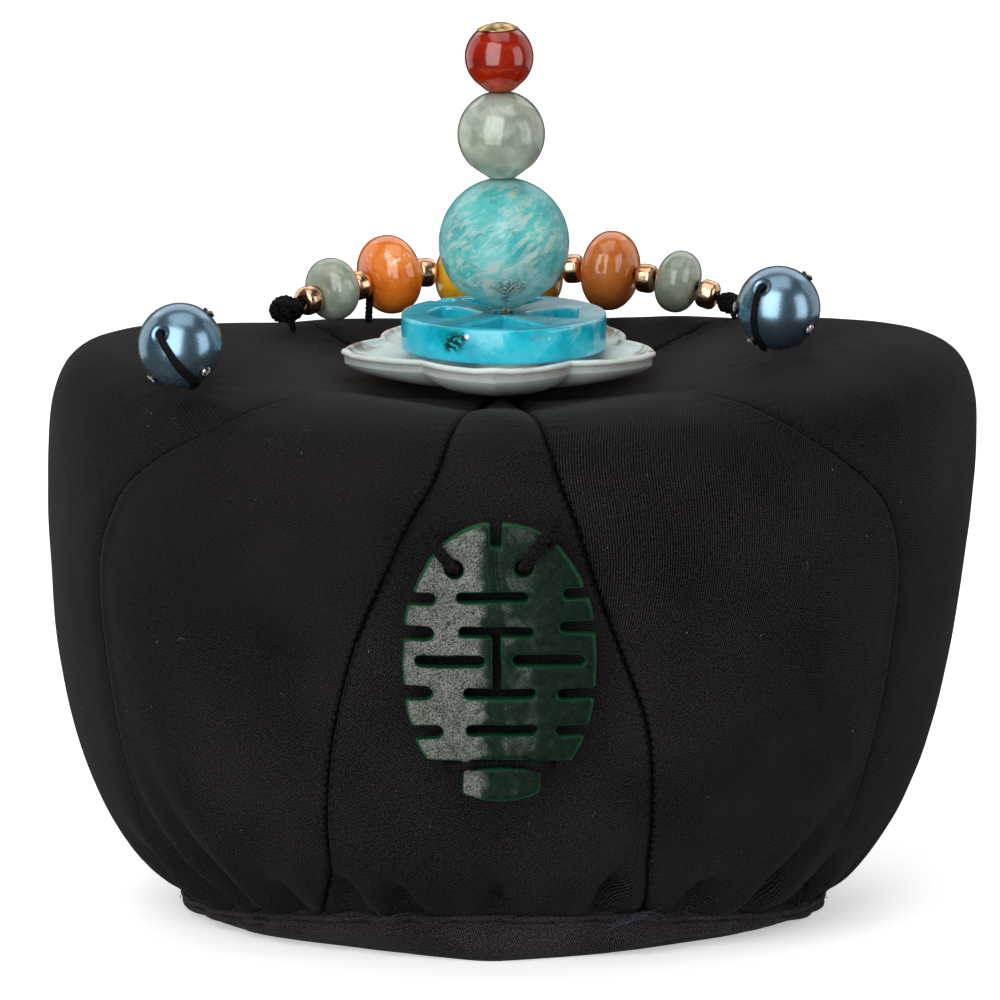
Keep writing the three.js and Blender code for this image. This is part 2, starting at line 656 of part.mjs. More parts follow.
// The plaque and its three ties. Its height above the cloth follows the front gore's fullest place.
function plaque() {
  const group = new THREE.Group();
  const [bottomZ, topZ] = [-0.8, 0.8].map((share) => PLAQUE_Z + PLAQUE_HALF_HEIGHT * share);
  const depthAt = (z) => {
    let place = 5;
    while (coverPoint(place, 0).z > z) place += 0.02;
    return -coverPoint(place, 0).y;
  };
  const lean = Math.atan2(depthAt(topZ) - depthAt(bottomZ), topZ - bottomZ);
  const fullest = max(...[0, 0.25, 0.5, 0.75, 1].map((t) => depthAt(bottomZ + t * (topZ - bottomZ))));
  group.position.set(PLAQUE_X, -(fullest + PLAQUE_STAND_OFF + PLAQUE_THICKNESS / 2), PLAQUE_Z);
  group.rotation.x = PI / 2 + lean;
  group.add(mesh("jade_plaque", plaqueGeometry(), "jade"));
  const face = PLAQUE_THICKNESS / 2 + TIE_RADIUS + GAP;
  const back = -PLAQUE_THICKNESS / 2 - 0.2;
  const ties = { left: [TIE_HOLES[0], [-11.4, 21.2]], right: [TIE_HOLES[1], [8.9, 23.7]] };
  for (const [side, [hole, over]] of Object.entries(ties)) {
    const reach = Math.hypot(over[0] - hole[0], over[1] - hole[1]);
    const along = ([distance, z]) => {
      const t = distance / reach;
      return vec(hole[0] + (over[0] - hole[0]) * t, hole[1] + (over[1] - hole[1]) * t, z);
    };
    const risen = [[-0.3, back], [0, 0.3], [0.35, 2.1], [1.6, face]];
    const points = [...risen, [reach * 0.8, face], [reach + 0.9, 0.4], [reach + 1.1, back]].map(along);
    group.add(mesh(`plaque_tie_${side}`, cordGeometry(points, TIE_RADIUS, 14, 8), "cord"));
  }
  const slotY = SLOTS.at(-1).y;
  const wing = 10.6;
  const tieRadius = 0.55;
  const bottom = [
    [-wing, slotY - 0.7, back - 0.4],
    [-wing + 1.4, slotY - 0.5, PLAQUE_THICKNESS / 2 + 0.5],
    [-6.6, slotY - 0.2, PLAQUE_THICKNESS / 2 + tieRadius + GAP],
    [-5, slotY, PLAQUE_THICKNESS / 2 + tieRadius],
    [-3.6, slotY, 0.3],
    [0, slotY, -0.4],
    [3.8, slotY, 0.3],
    [5.2, slotY, PLAQUE_THICKNESS / 2 + tieRadius],
    [6.8, slotY - 0.2, PLAQUE_THICKNESS / 2 + tieRadius + GAP],
    [wing - 1.2, slotY - 0.5, PLAQUE_THICKNESS / 2 + 0.5],
    [wing + 0.2, slotY - 0.7, back - 0.4],
  ].map((point) => vec(...point));
  group.add(mesh("plaque_tie_bottom", cordGeometry(bottom, tieRadius, 24, 6), "cord"));
  return group;
}

// A direction from how far right and up it looks from the front and a little above.
function seenDirection([right, up], side = 1) {
  const lift = rad(VIEW_LIFT);
  const near = side * sqrt(max(0, 1 - right ** 2 - up ** 2));
  return vec(right, up * sin(lift) - near * cos(lift), up * cos(lift) + near * sin(lift)).normalize();
}

// A pearl button, the cord that comes out of it and goes over its face into the cloth, and its set stones.
function pearlButton({ name, ring, angle, hole, cord, stones, hiddenStones }) {
  const group = new THREE.Group();
  const normal = coverNormal(ring, angle);
  group.position.copy(clothPoint(ring, angle).addScaledVector(normal, PEARL_RADIUS + PEARL_SEAT));
  const out = seenDirection(hole);
  const ball = beadGeometry(PEARL_RADIUS, PEARL_RADIUS, PEARL_BORE, PEARL_BORE, 10, 16);
  const pearl = mesh(`pearl_${name}`, ball, "pearl");
  pearl.quaternion.setFromUnitVectors(vec(0, 0, 1), out);
  group.add(pearl);

  const inside = [-0.9, 0.4, 0.95].map((share) => out.clone().multiplyScalar(PEARL_RADIUS * share));
  const start = out.clone().lerp(seenDirection(cord[0]), 0.35).normalize();
  const over = [start, ...cord.map((seen) => seenDirection(seen))];
  const outside = over.map((direction) => direction.multiplyScalar(PEARL_RADIUS + PEARL_CORD + GAP));
  group.add(mesh(`pearl_cord_${name}`, cordGeometry([...inside, ...outside], PEARL_CORD, 22, 6), "cord"));

  const facings = stones.map((seen) => seenDirection(seen));
  facings.push(...hiddenStones.map((seen) => seenDirection(seen, -1)));
  facings.forEach((facing, k) => {
    const profile = [
      [0, 0],
      [STONE_RADIUS * 0.9, 0],
      [STONE_RADIUS, 0.3],
      [STONE_RADIUS * 0.55, STONE_HEIGHT],
      [0, STONE_HEIGHT],
    ];
    const stone = mesh(`rhinestone_${name}_${k + 1}`, turned(profile, 8), "crystal");
    stone.quaternion.setFromUnitVectors(vec(0, 0, 1), facing);
    stone.position.copy(facing.multiplyScalar(PEARL_RADIUS + GAP));
    group.add(stone);
  });
  return group;
}

// The strand: beads set along the line by their own lengths, and a thread that runs straight through each
// bore, with a knot at each end.
function strand() {
  const group = new THREE.Group();
  const line = new THREE.CatmullRomCurve3(STRAND_LINE.map((point) => vec(...point)), false, "centripetal");
  const length = line.getLength();
  const used = STRAND_BEADS.reduce((sum, kind) => sum + BEAD_SIZES[kind].along + STRAND_GAP, -STRAND_GAP);
  const looks = { spacer: "copper", green: "aventurine", orange: "orange_stone", amber: "amber_stone" };
  const knotCentres = KNOT_SHARES.map((share) => line.getPointAt(share).add(vec(0, 0, -KNOT_DROP)));
  const route = [knotCentres[0]];
  let at = (length - used) / 2 + STRAND_SHIFT;
  STRAND_BEADS.forEach((kind, k) => {
    const { across, along } = BEAD_SIZES[kind];
    const round = kind === "spacer" ? [4, 10] : [8, 14];
    const geometry = beadGeometry(across / 2, along / 2, STRAND_BORE, STRAND_BORE, ...round);
    const bead = mesh(`strand_bead_${k + 1}_${kind}`, geometry, looks[kind]);
    const share = (at + along / 2) / length;
    const tangent = line.getTangentAt(share);
    bead.position.copy(line.getPointAt(share));
    bead.quaternion.setFromUnitVectors(vec(0, 0, 1), tangent);
    group.add(bead);
    route.push(...[-0.42, 0, 0.42].map((end) => bead.position.clone().addScaledVector(tangent, along * end)));
    at += along + STRAND_GAP;
  });
  route.push(knotCentres[1]);
  const thread = solidOf(cordGeometry(route, STRAND_THREAD, 60, 6));
  const knots = knotCentres.map((centre) => {
    const knot = new THREE.IcosahedronGeometry(KNOT_RADIUS, 1).scale(1, 1, KNOT_FLATNESS);
    return solidOf(knot.translate(centre.x, centre.y, centre.z));
  });
  const joined = knots.reduce((solid, knot) => solid.add(knot), thread);
  group.add(mesh("strand_thread", geometryOf(joined), "cord"));
  return group;
}

const coronet = new THREE.Group();
GORES.forEach((name, k) => coronet.add(gore(k)));
coronet.add(hemBand(), flowerPlate(), turquoiseWheel(), finial(), plaque(), strand());
PEARLS.forEach((pearl) => coronet.add(pearlButton(pearl)));
const around = new THREE.Box3().setFromObject(coronet, true);
const middle = around.getCenter(new THREE.Vector3());
coronet.position.set(-middle.x, -middle.y, -around.min.z);

export default coronet;
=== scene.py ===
import math

import bmesh
import bpy
import numpy as np
from mathutils import Matrix, Vector


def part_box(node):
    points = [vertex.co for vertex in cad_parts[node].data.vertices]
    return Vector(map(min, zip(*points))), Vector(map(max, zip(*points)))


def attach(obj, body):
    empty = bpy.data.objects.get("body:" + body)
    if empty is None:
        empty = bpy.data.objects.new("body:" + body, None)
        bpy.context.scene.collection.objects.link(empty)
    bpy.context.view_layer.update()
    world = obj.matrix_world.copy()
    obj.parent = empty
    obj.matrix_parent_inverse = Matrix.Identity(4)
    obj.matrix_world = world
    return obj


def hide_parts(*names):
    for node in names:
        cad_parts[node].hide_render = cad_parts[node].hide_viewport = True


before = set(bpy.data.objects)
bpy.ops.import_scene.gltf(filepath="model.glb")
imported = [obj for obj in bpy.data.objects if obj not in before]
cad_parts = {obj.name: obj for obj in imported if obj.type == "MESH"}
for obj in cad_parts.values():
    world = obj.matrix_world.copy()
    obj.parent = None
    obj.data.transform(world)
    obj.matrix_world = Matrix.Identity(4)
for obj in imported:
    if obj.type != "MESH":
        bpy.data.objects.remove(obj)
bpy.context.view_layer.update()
MM = 0.001
PI = math.pi

# The padded body. Rings run from the finial's hole out over the top and down to the gathers. The reaches
# and heights are in millimetres from the body's own middle, and the seams are angles from the front.
COLUMNS = [
    "left", "right", "front", "leftZ", "rightZ", "frontZ", "backZ", "centreSeam", "sideSeam", "seamTurn",
]
RING_ROWS = {
    "hole": (4, 4, 4, 91.5, 91.5, 91.5, 91.5, 22, 50, -1),
    "navel": (12, 12, 11.5, 92.2, 92.2, 91.8, 91.9, 15, 50, -1),
    "dimple": (27, 27, 25, 95.2, 95.6, 93.2, 93.8, 9, 49, -1),
    "saddle": (42, 43.5, 38, 98.4, 99.4, 95.4, 96.6, 6.8, 44, -1),
    "crown": (56, 60, 49, 100.9, 102.3, 95.8, 97.4, 6.6, 38.5, -1),
    "brow": (67.5, 72.5, 58, 100.9, 101.8, 93, 94.6, 6.9, 39, -1),
    "shoulder": (75, 80, 65, 98.4, 98.2, 87, 88.2, 7.9, 42.5, -1),
    "cheek": (78.8, 83, 69, 91.8, 91.2, 79, 79.5, 10.3, 49, -1.5),
    "temple": (79.9, 83.2, 71, 82, 82, 69, 69, 13, 56, -2),
    "flank": (79.9, 81.8, 71.3, 67, 67, 57, 57, 16.6, 60.5, -2.2),
    "waist": (78.2, 78.4, 69.8, 45, 45, 42, 42, 20.5, 60.5, -1.6),
    "hip": (73.3, 73, 65.8, 25.5, 25.5, 27, 27, 23, 61.5, -2),
    "tuck": (66.1, 65.8, 60.5, 11.5, 11.5, 16, 16, 25, 64.5, -2.5),
    "gather": (56.6, 57, 53.5, 2.4, 2.4, 8, 8, 29.5, 71, -4),
}
RINGS = np.array(list(RING_ROWS.values()), float)
LAST_RING = len(RINGS) - 1
GORES = [
    "front", "front_right", "side_right", "back_right", "back", "back_left", "side_left", "front_left",
]
GORE_ROWS = 156
GORE_COLUMNS = 56
RING_STEP = 14.6  # millimetres of cloth from one ring to the next, about
SEAM_GAP = 0.1
SEAM_DRAW = 1.5
UV_SPAN = 250  # millimetres of cloth across the whole UV map

# The stuffing of each gore.
SIM_ROWS = 65
SIM_COLUMNS = 22
SIM_FRAMES = 20
STUFFING_PRESSURE = 4
STUFFING_START = 0.8  # how far inside its sewn shape the cover starts
PLUMP = 0.6  # how far a full gore stands out past its pattern
SWELL_CAP = 2.4
HEM_FULLNESS = -0.05  # spare cloth gathered into the hem

# Gathers that run up from the hem: angle, depth, width, reach and lean. They mirror on the back.
FOLDS = [
    (-57, 2.2, 3.2, 20, 4),
    (-49, 2.4, 3.0, 24, 6),
    (-38, 1.2, 3.0, 9, 1),
    (-27, 2.2, 3.4, 9, 0),
    (-17, 2.0, 2.6, 8, 1),
    (-1, 1.6, 2.2, 11, 0),
    (17, 2.0, 2.4, 15, -2),
    (35, 2.0, 3.4, 8, 0),
    (46, 2.2, 2.4, 18, -7),
    (62, 1.6, 3.4, 12, -4),
    (76, 1.6, 3.6, 14, -2),
    (-70, 1.4, 3.6, 12, 3),
]

# The hollow for the head and the hem band under the gores.
MOUTH_RADIUS = 46
HOLLOW_TOP = 52
HOLLOW_ROUNDNESS = 0.7
HEM_BASE_SIDE = 53.2
HEM_BASE_FRONT = 50
HEM_INNER = 45.6
HEM_TUCK = 0.985
HEM_ANGLES = 480
HEM_GIRTH = 330  # millimetres of cloth round the hem
# Where the hem's lower edge lifts off the surface or hangs forward: angle, width, lift and forward.
HEM_WAVES = [
    (-130, 15, 1.1, 0),
    (-75, 14, 0.7, 0),
    (-33, 12, 1.3, 0),
    (-2, 8, 0, 2.6),
    (38, 14, 1.5, 0),
    (75, 16, 0.6, 0),
    (125, 14, 1.2, 0),
    (178, 16, 0.8, 0),
]

# The finial and its plate.
FINIAL_X = 0.9
FINIAL_LEAN = -1.5
FINIAL_AXIS = (math.sin(math.radians(FINIAL_LEAN)), 0, math.cos(math.radians(FINIAL_LEAN)))
FINIAL_DIAMETERS = {"amazonite": 22.9, "aventurine": 15.4, "carnelian": 12.1}
STONE_BORE = 1.1
STONE_FLAT = 1.8
STONE_FOOT = 2.4
STONE_TOPS = {"amazonite": 11.4, "aventurine": 7.58, "carnelian": 5.45}
FLOWER_TIP = 28.9
FLOWER_NOTCH = 22.4
FLOWER_PETALS = 5
FLOWER_TURN = -2.5
FLOWER_RIM_Z = 99.7
FLOWER_BELLY_Z = 93.9
FLOWER_SAG = 1.1  # how much lower the front petals hang
FLOWER_FLOOR_Z = 96.2
FLOWER_BOSS_Z = 98.9
FLOWER_LIP = 1
FLOWER_X = -0.4
FLOWER_HOLE = 2.6
WHEEL_X = 0.2
WHEEL_TILT = 1.25  # degrees, front down
WHEEL_RADIUS = 18
WHEEL_BASE_Z = 99.3
WHEEL_TOP_Z = 105.4

# The plaque on the front gore.
PLAQUE_HALF_WIDTH = 16.7
PLAQUE_HALF_HEIGHT = 24.3
PLAQUE_THICKNESS = 3.4
PLAQUE_X = -0.6
PLAQUE_Z = 56.5
PLAQUE_STAND_OFF = 0.5
TIE_HOLES = {"left": (-7.7, 16.4), "right": (4.1, 16.6)}
TIE_ENDS = {"left": (-11.4, 21.2), "right": (8.9, 23.7)}
LOWEST_SLOT_Y = -17.6

# The pearl buttons. Directions are as seen from the front and a little above: right and up in pearl radii.
PEARL_RADIUS = 7.35
PEARL_SEAT = 0.1
PEARL_CORD = 0.55
CORD_GAP = 0.35
VIEW_LIFT = 9.7  # degrees that the camera looks down
PEARLS = {
    "left": {
        "ring": 4.95,
        "angle": -55,
        "hole": (-0.47, 0.26),
        "cord": [(-0.28, -0.12), (0.01, -0.53), (0.3, -0.8), (0.36, -0.9)],
        "stones": [(0.66, 0.75), (0.6, -0.6), (-0.64, -0.76)],
        "hidden": [(0.3, 0.3), (-0.5, 0.35)],
    },
    "right": {
        "ring": 3.45,
        "angle": 75,
        "hole": (-0.43, 0.485),
        "cord": [(-0.53, 0.15), (-0.58, -0.22), (-0.54, -0.58), (-0.4, -0.86)],
        "stones": [(0.67, 0.74), (0.7, -0.49), (-0.63, -0.77), (-0.99, 0)],
        "hidden": [(0.3, 0.3)],
    },
}

# The strand at the back of the top: the line its thread follows and its beads, with their sizes.
STRAND_LINE = [
    (-41.5, 24.5, 101.9),
    (-34.6, 31.5, 102.5),
    (-30.4, 35.6, 103.9),
    (-26, 39.4, 103.9),
    (-19.7, 44.2, 105.4),
    (-12.8, 47.3, 105.1),
    (-6, 49.1, 104.3),
    (5.6, 49.3, 104.4),
    (12.2, 47.8, 105.7),
    (19, 45.4, 105.8),
    (25.5, 42.6, 104.8),
    (31, 40.6, 104.6),
    (36.6, 38.4, 102.5),
    (42.5, 36.4, 101.2),
]
KNOTS = [(0.046, 0.5, 1.3), (0.976, 0.5, 1.05)]  # share of the line, drop under it, size
SEWN_STITCH = [(-23.6, 41.2, 104.4), (-23.7, 40.6, 102), (-23.9, 40.2, 98), (-24, 40, 96.5)]
BEAD_SIZES = {"spacer": (5.2, 3.5), "green": (11.2, 7.4), "orange": (14.2, 9.5), "amber": (12, 9)}

# The camera: its distance in metres and where it aims, in millimetres from the body's middle.
CAMERA_DISTANCE = 2.4
CAMERA_AIM = (-0.5, 0, 72)
PICTURE_MM = 175.5  # how much of the object's plane the picture takes in
SENSOR = 36

# The body's middle in the shared frame, read from where the hem band stands.
hem_low, hem_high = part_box("hem_band")
left_edge = RING_ROWS["gather"][0] * HEM_TUCK
right_edge = RING_ROWS["gather"][1] * HEM_TUCK
BODY_MIDDLE = np.array([
    ((hem_low.x + hem_high.x) / MM + left_edge - right_edge) / 2,
    (hem_low.y + hem_high.y) / MM / 2,
    0,
])


# Numbers and curves

def along(values, place):
    """Values at places between the rows of a table, on a smooth curve through them."""
    values = np.asarray(values, float)
    last = len(values) - 1
    place = np.asarray(place, float)
    k = np.clip(np.floor(place).astype(int), 0, last - 1)
    t = (place - k).reshape(place.shape + (1,) * (values.ndim - 1))
    a, b, c, d = (values[np.clip(k + n, 0, last)] for n in (-1, 0, 1, 2))
    return b + 0.5 * t * (c - a + t * (2 * a - 5 * b + 4 * c - d + t * (3 * (b - c) + d - a)))


def smooth_path(points, spacing):
    """Points at an even spacing on a smooth curve through the given ones."""
    dense = along(points, np.linspace(0, len(points) - 1, 40 * len(points)))
    length = run_along(dense)
    steps = max(2, round(length[-1] / spacing))
    at = np.linspace(0, length[-1], steps + 1)
    return np.stack([np.interp(at, length, dense[:, axis]) for axis in range(3)], axis=1)


def run_along(points):
    """How far along a path each of its points is."""
    return np.concatenate([[0], np.cumsum(np.linalg.norm(np.diff(points, axis=0), axis=1))])


def unit(vectors):
    return vectors / np.maximum(np.linalg.norm(vectors, axis=-1, keepdims=True), 1e-12)


def smooth_step(values, low, high):
    t = np.clip((values - low) / (high - low), 0, 1)
    return t * t * (3 - 2 * t)


def bell(offset, width):
    """1 where the offset is 0, and falling away smoothly within about a width."""
    return np.exp(-((offset / width) ** 2))


def ripple(seed, *coordinates):
    """A smooth uneven wave, about from -1 to 1, from a few sines with seeded directions."""
    draw = np.random.default_rng(seed)
    total = 0
    for _ in range(5):
        turns = draw.normal(0, 1, len(coordinates))
        phase = draw.uniform(0, 2 * PI)
        total = total + np.sin(sum(turn * c for turn, c in zip(turns, coordinates)) * 2 + phase)
    return total / 3


# The body's surface

def ring_value(column, place):
    return along(RINGS[:, COLUMNS.index(column)], place)


def cover_point(place, angle):
    """A point of the cover before the seams draw it in, from its ring and its angle."""
    a = np.radians(angle)
    left = np.sin(a) < 0
    reach = np.where(left, ring_value("left", place), ring_value("right", place))
    side_z = np.where(left, ring_value("leftZ", place), ring_value("rightZ", place))
    middle_z = np.where(np.cos(a) > 0, ring_value("frontZ", place), ring_value("backZ", place))
    z = middle_z + (side_z - middle_z) * np.sin(a) ** 2
    return np.stack([reach * np.sin(a), -ring_value("front", place) * np.cos(a), z], axis=-1)


def cover_normal(place, angle):
    step = 0.05
    lower = cover_point(np.minimum(place + step, LAST_RING), angle)
    upper = cover_point(np.maximum(place - step, 0), angle)
    around = cover_point(place, angle + 1) - cover_point(place, angle - 1)
    return unit(np.cross(lower - upper, around))


def seam_angles(place):
    """The angle of each seam on a ring, in the gores' order: seam k is where gore k begins."""
    centre = ring_value("centreSeam", place)
    side = ring_value("sideSeam", place)
    turn = ring_value("seamTurn", place)
    half = [-centre, centre, side, 180 - side]
    row = [*half, *(180 + angle for angle in half), 360 - centre]
    return np.stack([angle + turn for angle in row])


def fold_depth(place, angle):
    """How far the gathers press the cloth in, with a sharper crease along each."""
    height = cover_point(place, angle)[..., 2] - cover_point(LAST_RING + 0 * place, angle)[..., 2]
    front = np.where(np.cos(np.radians(angle)) > 0, angle, 180 - angle)
    total = 0 * height
    for centre, depth, width, reach, lean in FOLDS:
        across = front - (centre - lean * height / reach)
        across = across - 360 * np.round(across / 360)
        fade = np.exp(-1.5 * (height / reach) ** 2)
        dip = bell(across, width)
        crease = 0.45 * np.exp(-np.abs(across) / (0.3 * width))
        ridge = 0.35 * bell(np.abs(across) - 2 * width, width)
        total = total + depth * fade * (dip + crease - ridge)
    return total


def cloth_point(place, angle):
    """A point on the finished cover at any angle."""
    place, angle = np.broadcast_arrays(np.asarray(place, float), np.asarray(angle, float))
    seams = seam_angles(place)
    turned = angle - 360 * np.round((angle - (seams[0] + seams[-1]) / 2) / 360)
    k = np.clip((turned[None] >= seams).sum(0) - 1, 0, len(GORES) - 1)
    start = np.take_along_axis(seams, k[None], 0)[0]
    end = np.take_along_axis(seams, k[None] + 1, 0)[0]
    across = 2 * (turned - start) / (end - start) - 1
    inward = SEAM_DRAW * np.abs(across) ** 3 + fold_depth(place, angle)
    return cover_point(place, angle) - cover_normal(place, angle) * inward[..., None]


def gather_z(angle):
    return cover_point(np.full(np.shape(angle), float(LAST_RING)), angle)[..., 2]


def hollow_point(share, angle):
    """A point of the hollow's wall. The share runs from the hole at the top to the mouth."""
    w = share * PI / 2
    hole = RING_ROWS["hole"][0]
    radius = hole + (MOUTH_RADIUS - hole) * np.sin(w) ** HOLLOW_ROUNDNESS
    mouth = gather_z(angle)
    z = mouth + (HOLLOW_TOP - mouth) * np.maximum(np.cos(w), 0) ** HOLLOW_ROUNDNESS
    a = np.radians(angle)
    return np.stack([radius * np.sin(a), -radius * np.cos(a), z], axis=-1)


# Meshes

def grid_faces(rows, columns, start=0, wrap=False):
    """Quads over a grid of points, in rows. A wrapped grid closes on itself across its columns."""
    i, j = np.meshgrid(np.arange(rows - 1), np.arange(columns if wrap else columns - 1), indexing="ij")
    k = (j + 1) % columns
    quads = [i * columns + j, (i + 1) * columns + j, (i + 1) * columns + k, i * columns + k]
    return (np.stack(quads, axis=-1).reshape(-1, 4) + start).tolist()


def new_object(name, data):
    made = bpy.data.objects.new(name, data)
    bpy.context.scene.collection.objects.link(made)
    return made


def taken_from(body):
    """The plain mesh of an object with its modifiers applied. The object itself goes."""
    made = bpy.data.meshes.new_from_object(body.evaluated_get(bpy.context.evaluated_depsgraph_get()))
    bpy.data.objects.remove(body)
    return made


def make_mesh(name, points, faces, tidy=True):
    """A mesh of body points in millimetres, put in its place in the shared frame."""
    made = bpy.data.meshes.new(name)
    made.from_pydata(((np.asarray(points) + BODY_MIDDLE) * MM).tolist(), [], faces)
    if tidy:
        tidy_mesh(made)
    return made


def tidy_mesh(made):
    shape = bmesh.new()
    shape.from_mesh(made)
    bmesh.ops.remove_doubles(shape, verts=shape.verts, dist=1e-6)
    bmesh.ops.dissolve_degenerate(shape, edges=shape.edges, dist=1e-7)
    bmesh.ops.recalc_face_normals(shape, faces=shape.faces)
    shape.to_mesh(made)
    shape.free()


def piece(name, made, finish, node=None, smooth=True, crease=40):
    """A finished piece that rides on the body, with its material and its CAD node."""
    body = new_object(name, made)
    for material in finish if isinstance(finish, list) else [finish]:
        made.materials.append(material)
    if smooth:
        made.shade_smooth()
        made.set_sharp_from_angle(angle=math.radians(crease))
    else:
        made.shade_flat()
    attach(body, "root")
    if node:
        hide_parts(node)
    return body


def join(parts):
    """Several lists of points and faces as one."""
    points, faces = [], []
    for some_points, some_faces in parts:
        start = sum(len(p) for p in points)
        points.append(np.asarray(some_points, float))
        faces.extend([[n + start for n in face] for face in some_faces])
    return np.concatenate(points), faces


def turned(profile, segments):
    """A turned shape about +Z from [radius, z] rows that start and end on the axis or on each other."""
    profile = np.asarray(profile, float)
    a = np.linspace(0, 2 * PI, segments, endpoint=False)
    r, z = profile[:, :1], profile[:, 1:]
    points = np.stack([r * np.cos(a), r * np.sin(a), z + 0 * a], axis=-1)
    return points.reshape(-1, 3), grid_faces(len(profile), segments, wrap=True)


def placed(points, centre, axis=(0, 0, 1)):
    """Points turned so that +Z lies along an axis, and moved to a centre."""
    turn = np.array(Vector((0, 0, 1)).rotation_difference(Vector(axis)).to_matrix())
    return np.asarray(points) @ turn.T + np.asarray(centre)


def path_frames(path):
    """The direction of a path at each point, and two directions across it that don't twist."""
    forward = unit(np.gradient(path, axis=0))
    start = np.cross(forward[0], (0.1, 0.2, 1))
    across = [unit(start)]
    for direction in forward[1:]:
        kept = across[-1] - direction * (across[-1] @ direction)
        across.append(unit(kept))
    across = np.array(across)
    return forward, across, np.cross(forward, across)


def tube_rings(across, up, sides, flatness=1.0):
    """Rings of points about a path, from its directions across, in radii."""
    a = np.linspace(0, 2 * PI, sides, endpoint=False)
    return np.cos(a)[None, :, None] * across[:, None] + np.sin(a)[None, :, None] * up[:, None] * flatness


def tube(path, radius, sides):
    """A round tube along a path, with rounded ends."""
    forward, across, up = path_frames(path)
    ring = tube_rings(across, up, sides)
    caps = []
    for end, way in ((0, -1), (-1, 1)):
        tip = path[end] + forward[end] * way * radius * 0.8
        middle = path[end] + forward[end] * way * radius * 0.5 + ring[end] * radius * 0.75
        caps.append(np.stack([np.repeat(tip[None], sides, 0), middle]))
    rows = np.concatenate([caps[0], path[:, None] + ring * radius, caps[1][::-1]])
    return rows.reshape(-1, 3), grid_faces(len(rows), sides, wrap=True)


def braid(path, radius, pitch, sides=8):
    """Three strands plaited round a path, as in a braided cord."""
    length = run_along(path)
    _, across, up = path_frames(path)
    strands = []
    for k in range(3):
        turn = 2 * PI * (length / pitch + k / 3)
        sideways = across * (0.5 * radius * np.sin(turn))[:, None]
        outwards = up * (0.32 * radius * np.sin(2 * turn))[:, None]
        strands.append(tube(path + sideways + outwards, radius * 0.5, sides))
    return join(strands)


# Node trees. A wire is one socket, and sums of wires add Math nodes.

class Wire:
    def __init__(self, tree, socket=None):
        self.tree = tree
        self.socket = socket

    def node(self, kind, settings=None, values=None, output=0):
        """A node of a type, with its settings made first and then its sockets' values or links."""
        made = self.tree.nodes.new(kind)
        for name, value in (settings or {}).items():
            if name == "stops":
                ramp = made.color_ramp
                while len(ramp.elements) < len(value):
                    ramp.elements.new(1)
                for element, (position, colour) in zip(ramp.elements, value):
                    element.position = position
                    element.color = (*colour, 1)
            else:
                setattr(made, name, value)
        for key, value in (values or {}).items():
            if isinstance(value, Wire):
                self.tree.links.new(value.socket, made.inputs[key])
            elif isinstance(value, tuple) and len(value) == 3 and made.inputs[key].type == "RGBA":
                made.inputs[key].default_value = (*value, 1)
            else:
                made.inputs[key].default_value = value
        return Wire(self.tree, made.outputs[output])

    def math(self, operation, *values):
        return self.node("ShaderNodeMath", {"operation": operation}, dict(enumerate(values)))

    def __add__(self, other):
        return self.math("ADD", self, other)

    __radd__ = __add__

    def __sub__(self, other):
        return self.math("SUBTRACT", self, other)

    def __rsub__(self, other):
        return self.math("SUBTRACT", other, self)

    def __mul__(self, other):
        return self.math("MULTIPLY", self, other)

    __rmul__ = __mul__

    def larger(self, other):
        return self.math("MAXIMUM", self, other)

    def sine(self):
        return self.math("SINE", self)

    def smooth(self, low, high):
        """0 below low, 1 above high and smooth between. A low above the high runs the other way."""
        settings = {"interpolation_type": "SMOOTHSTEP"}
        if low > high:
            return 1 - self.smooth(high, low)
        return self.node("ShaderNodeMapRange", settings, {0: self, 1: low, 2: high})

    def mix(self, low, high, blend="MIX"):
        """Colours mixed by this value, from the low one to the high one."""
        settings = {"data_type": "RGBA", "blend_type": blend}
        return self.node("ShaderNodeMix", settings, {0: self, 6: low, 7: high}, output=2)

    def ramp(self, *stops):
        return self.node("ShaderNodeValToRGB", {"stops": stops}, {0: self})


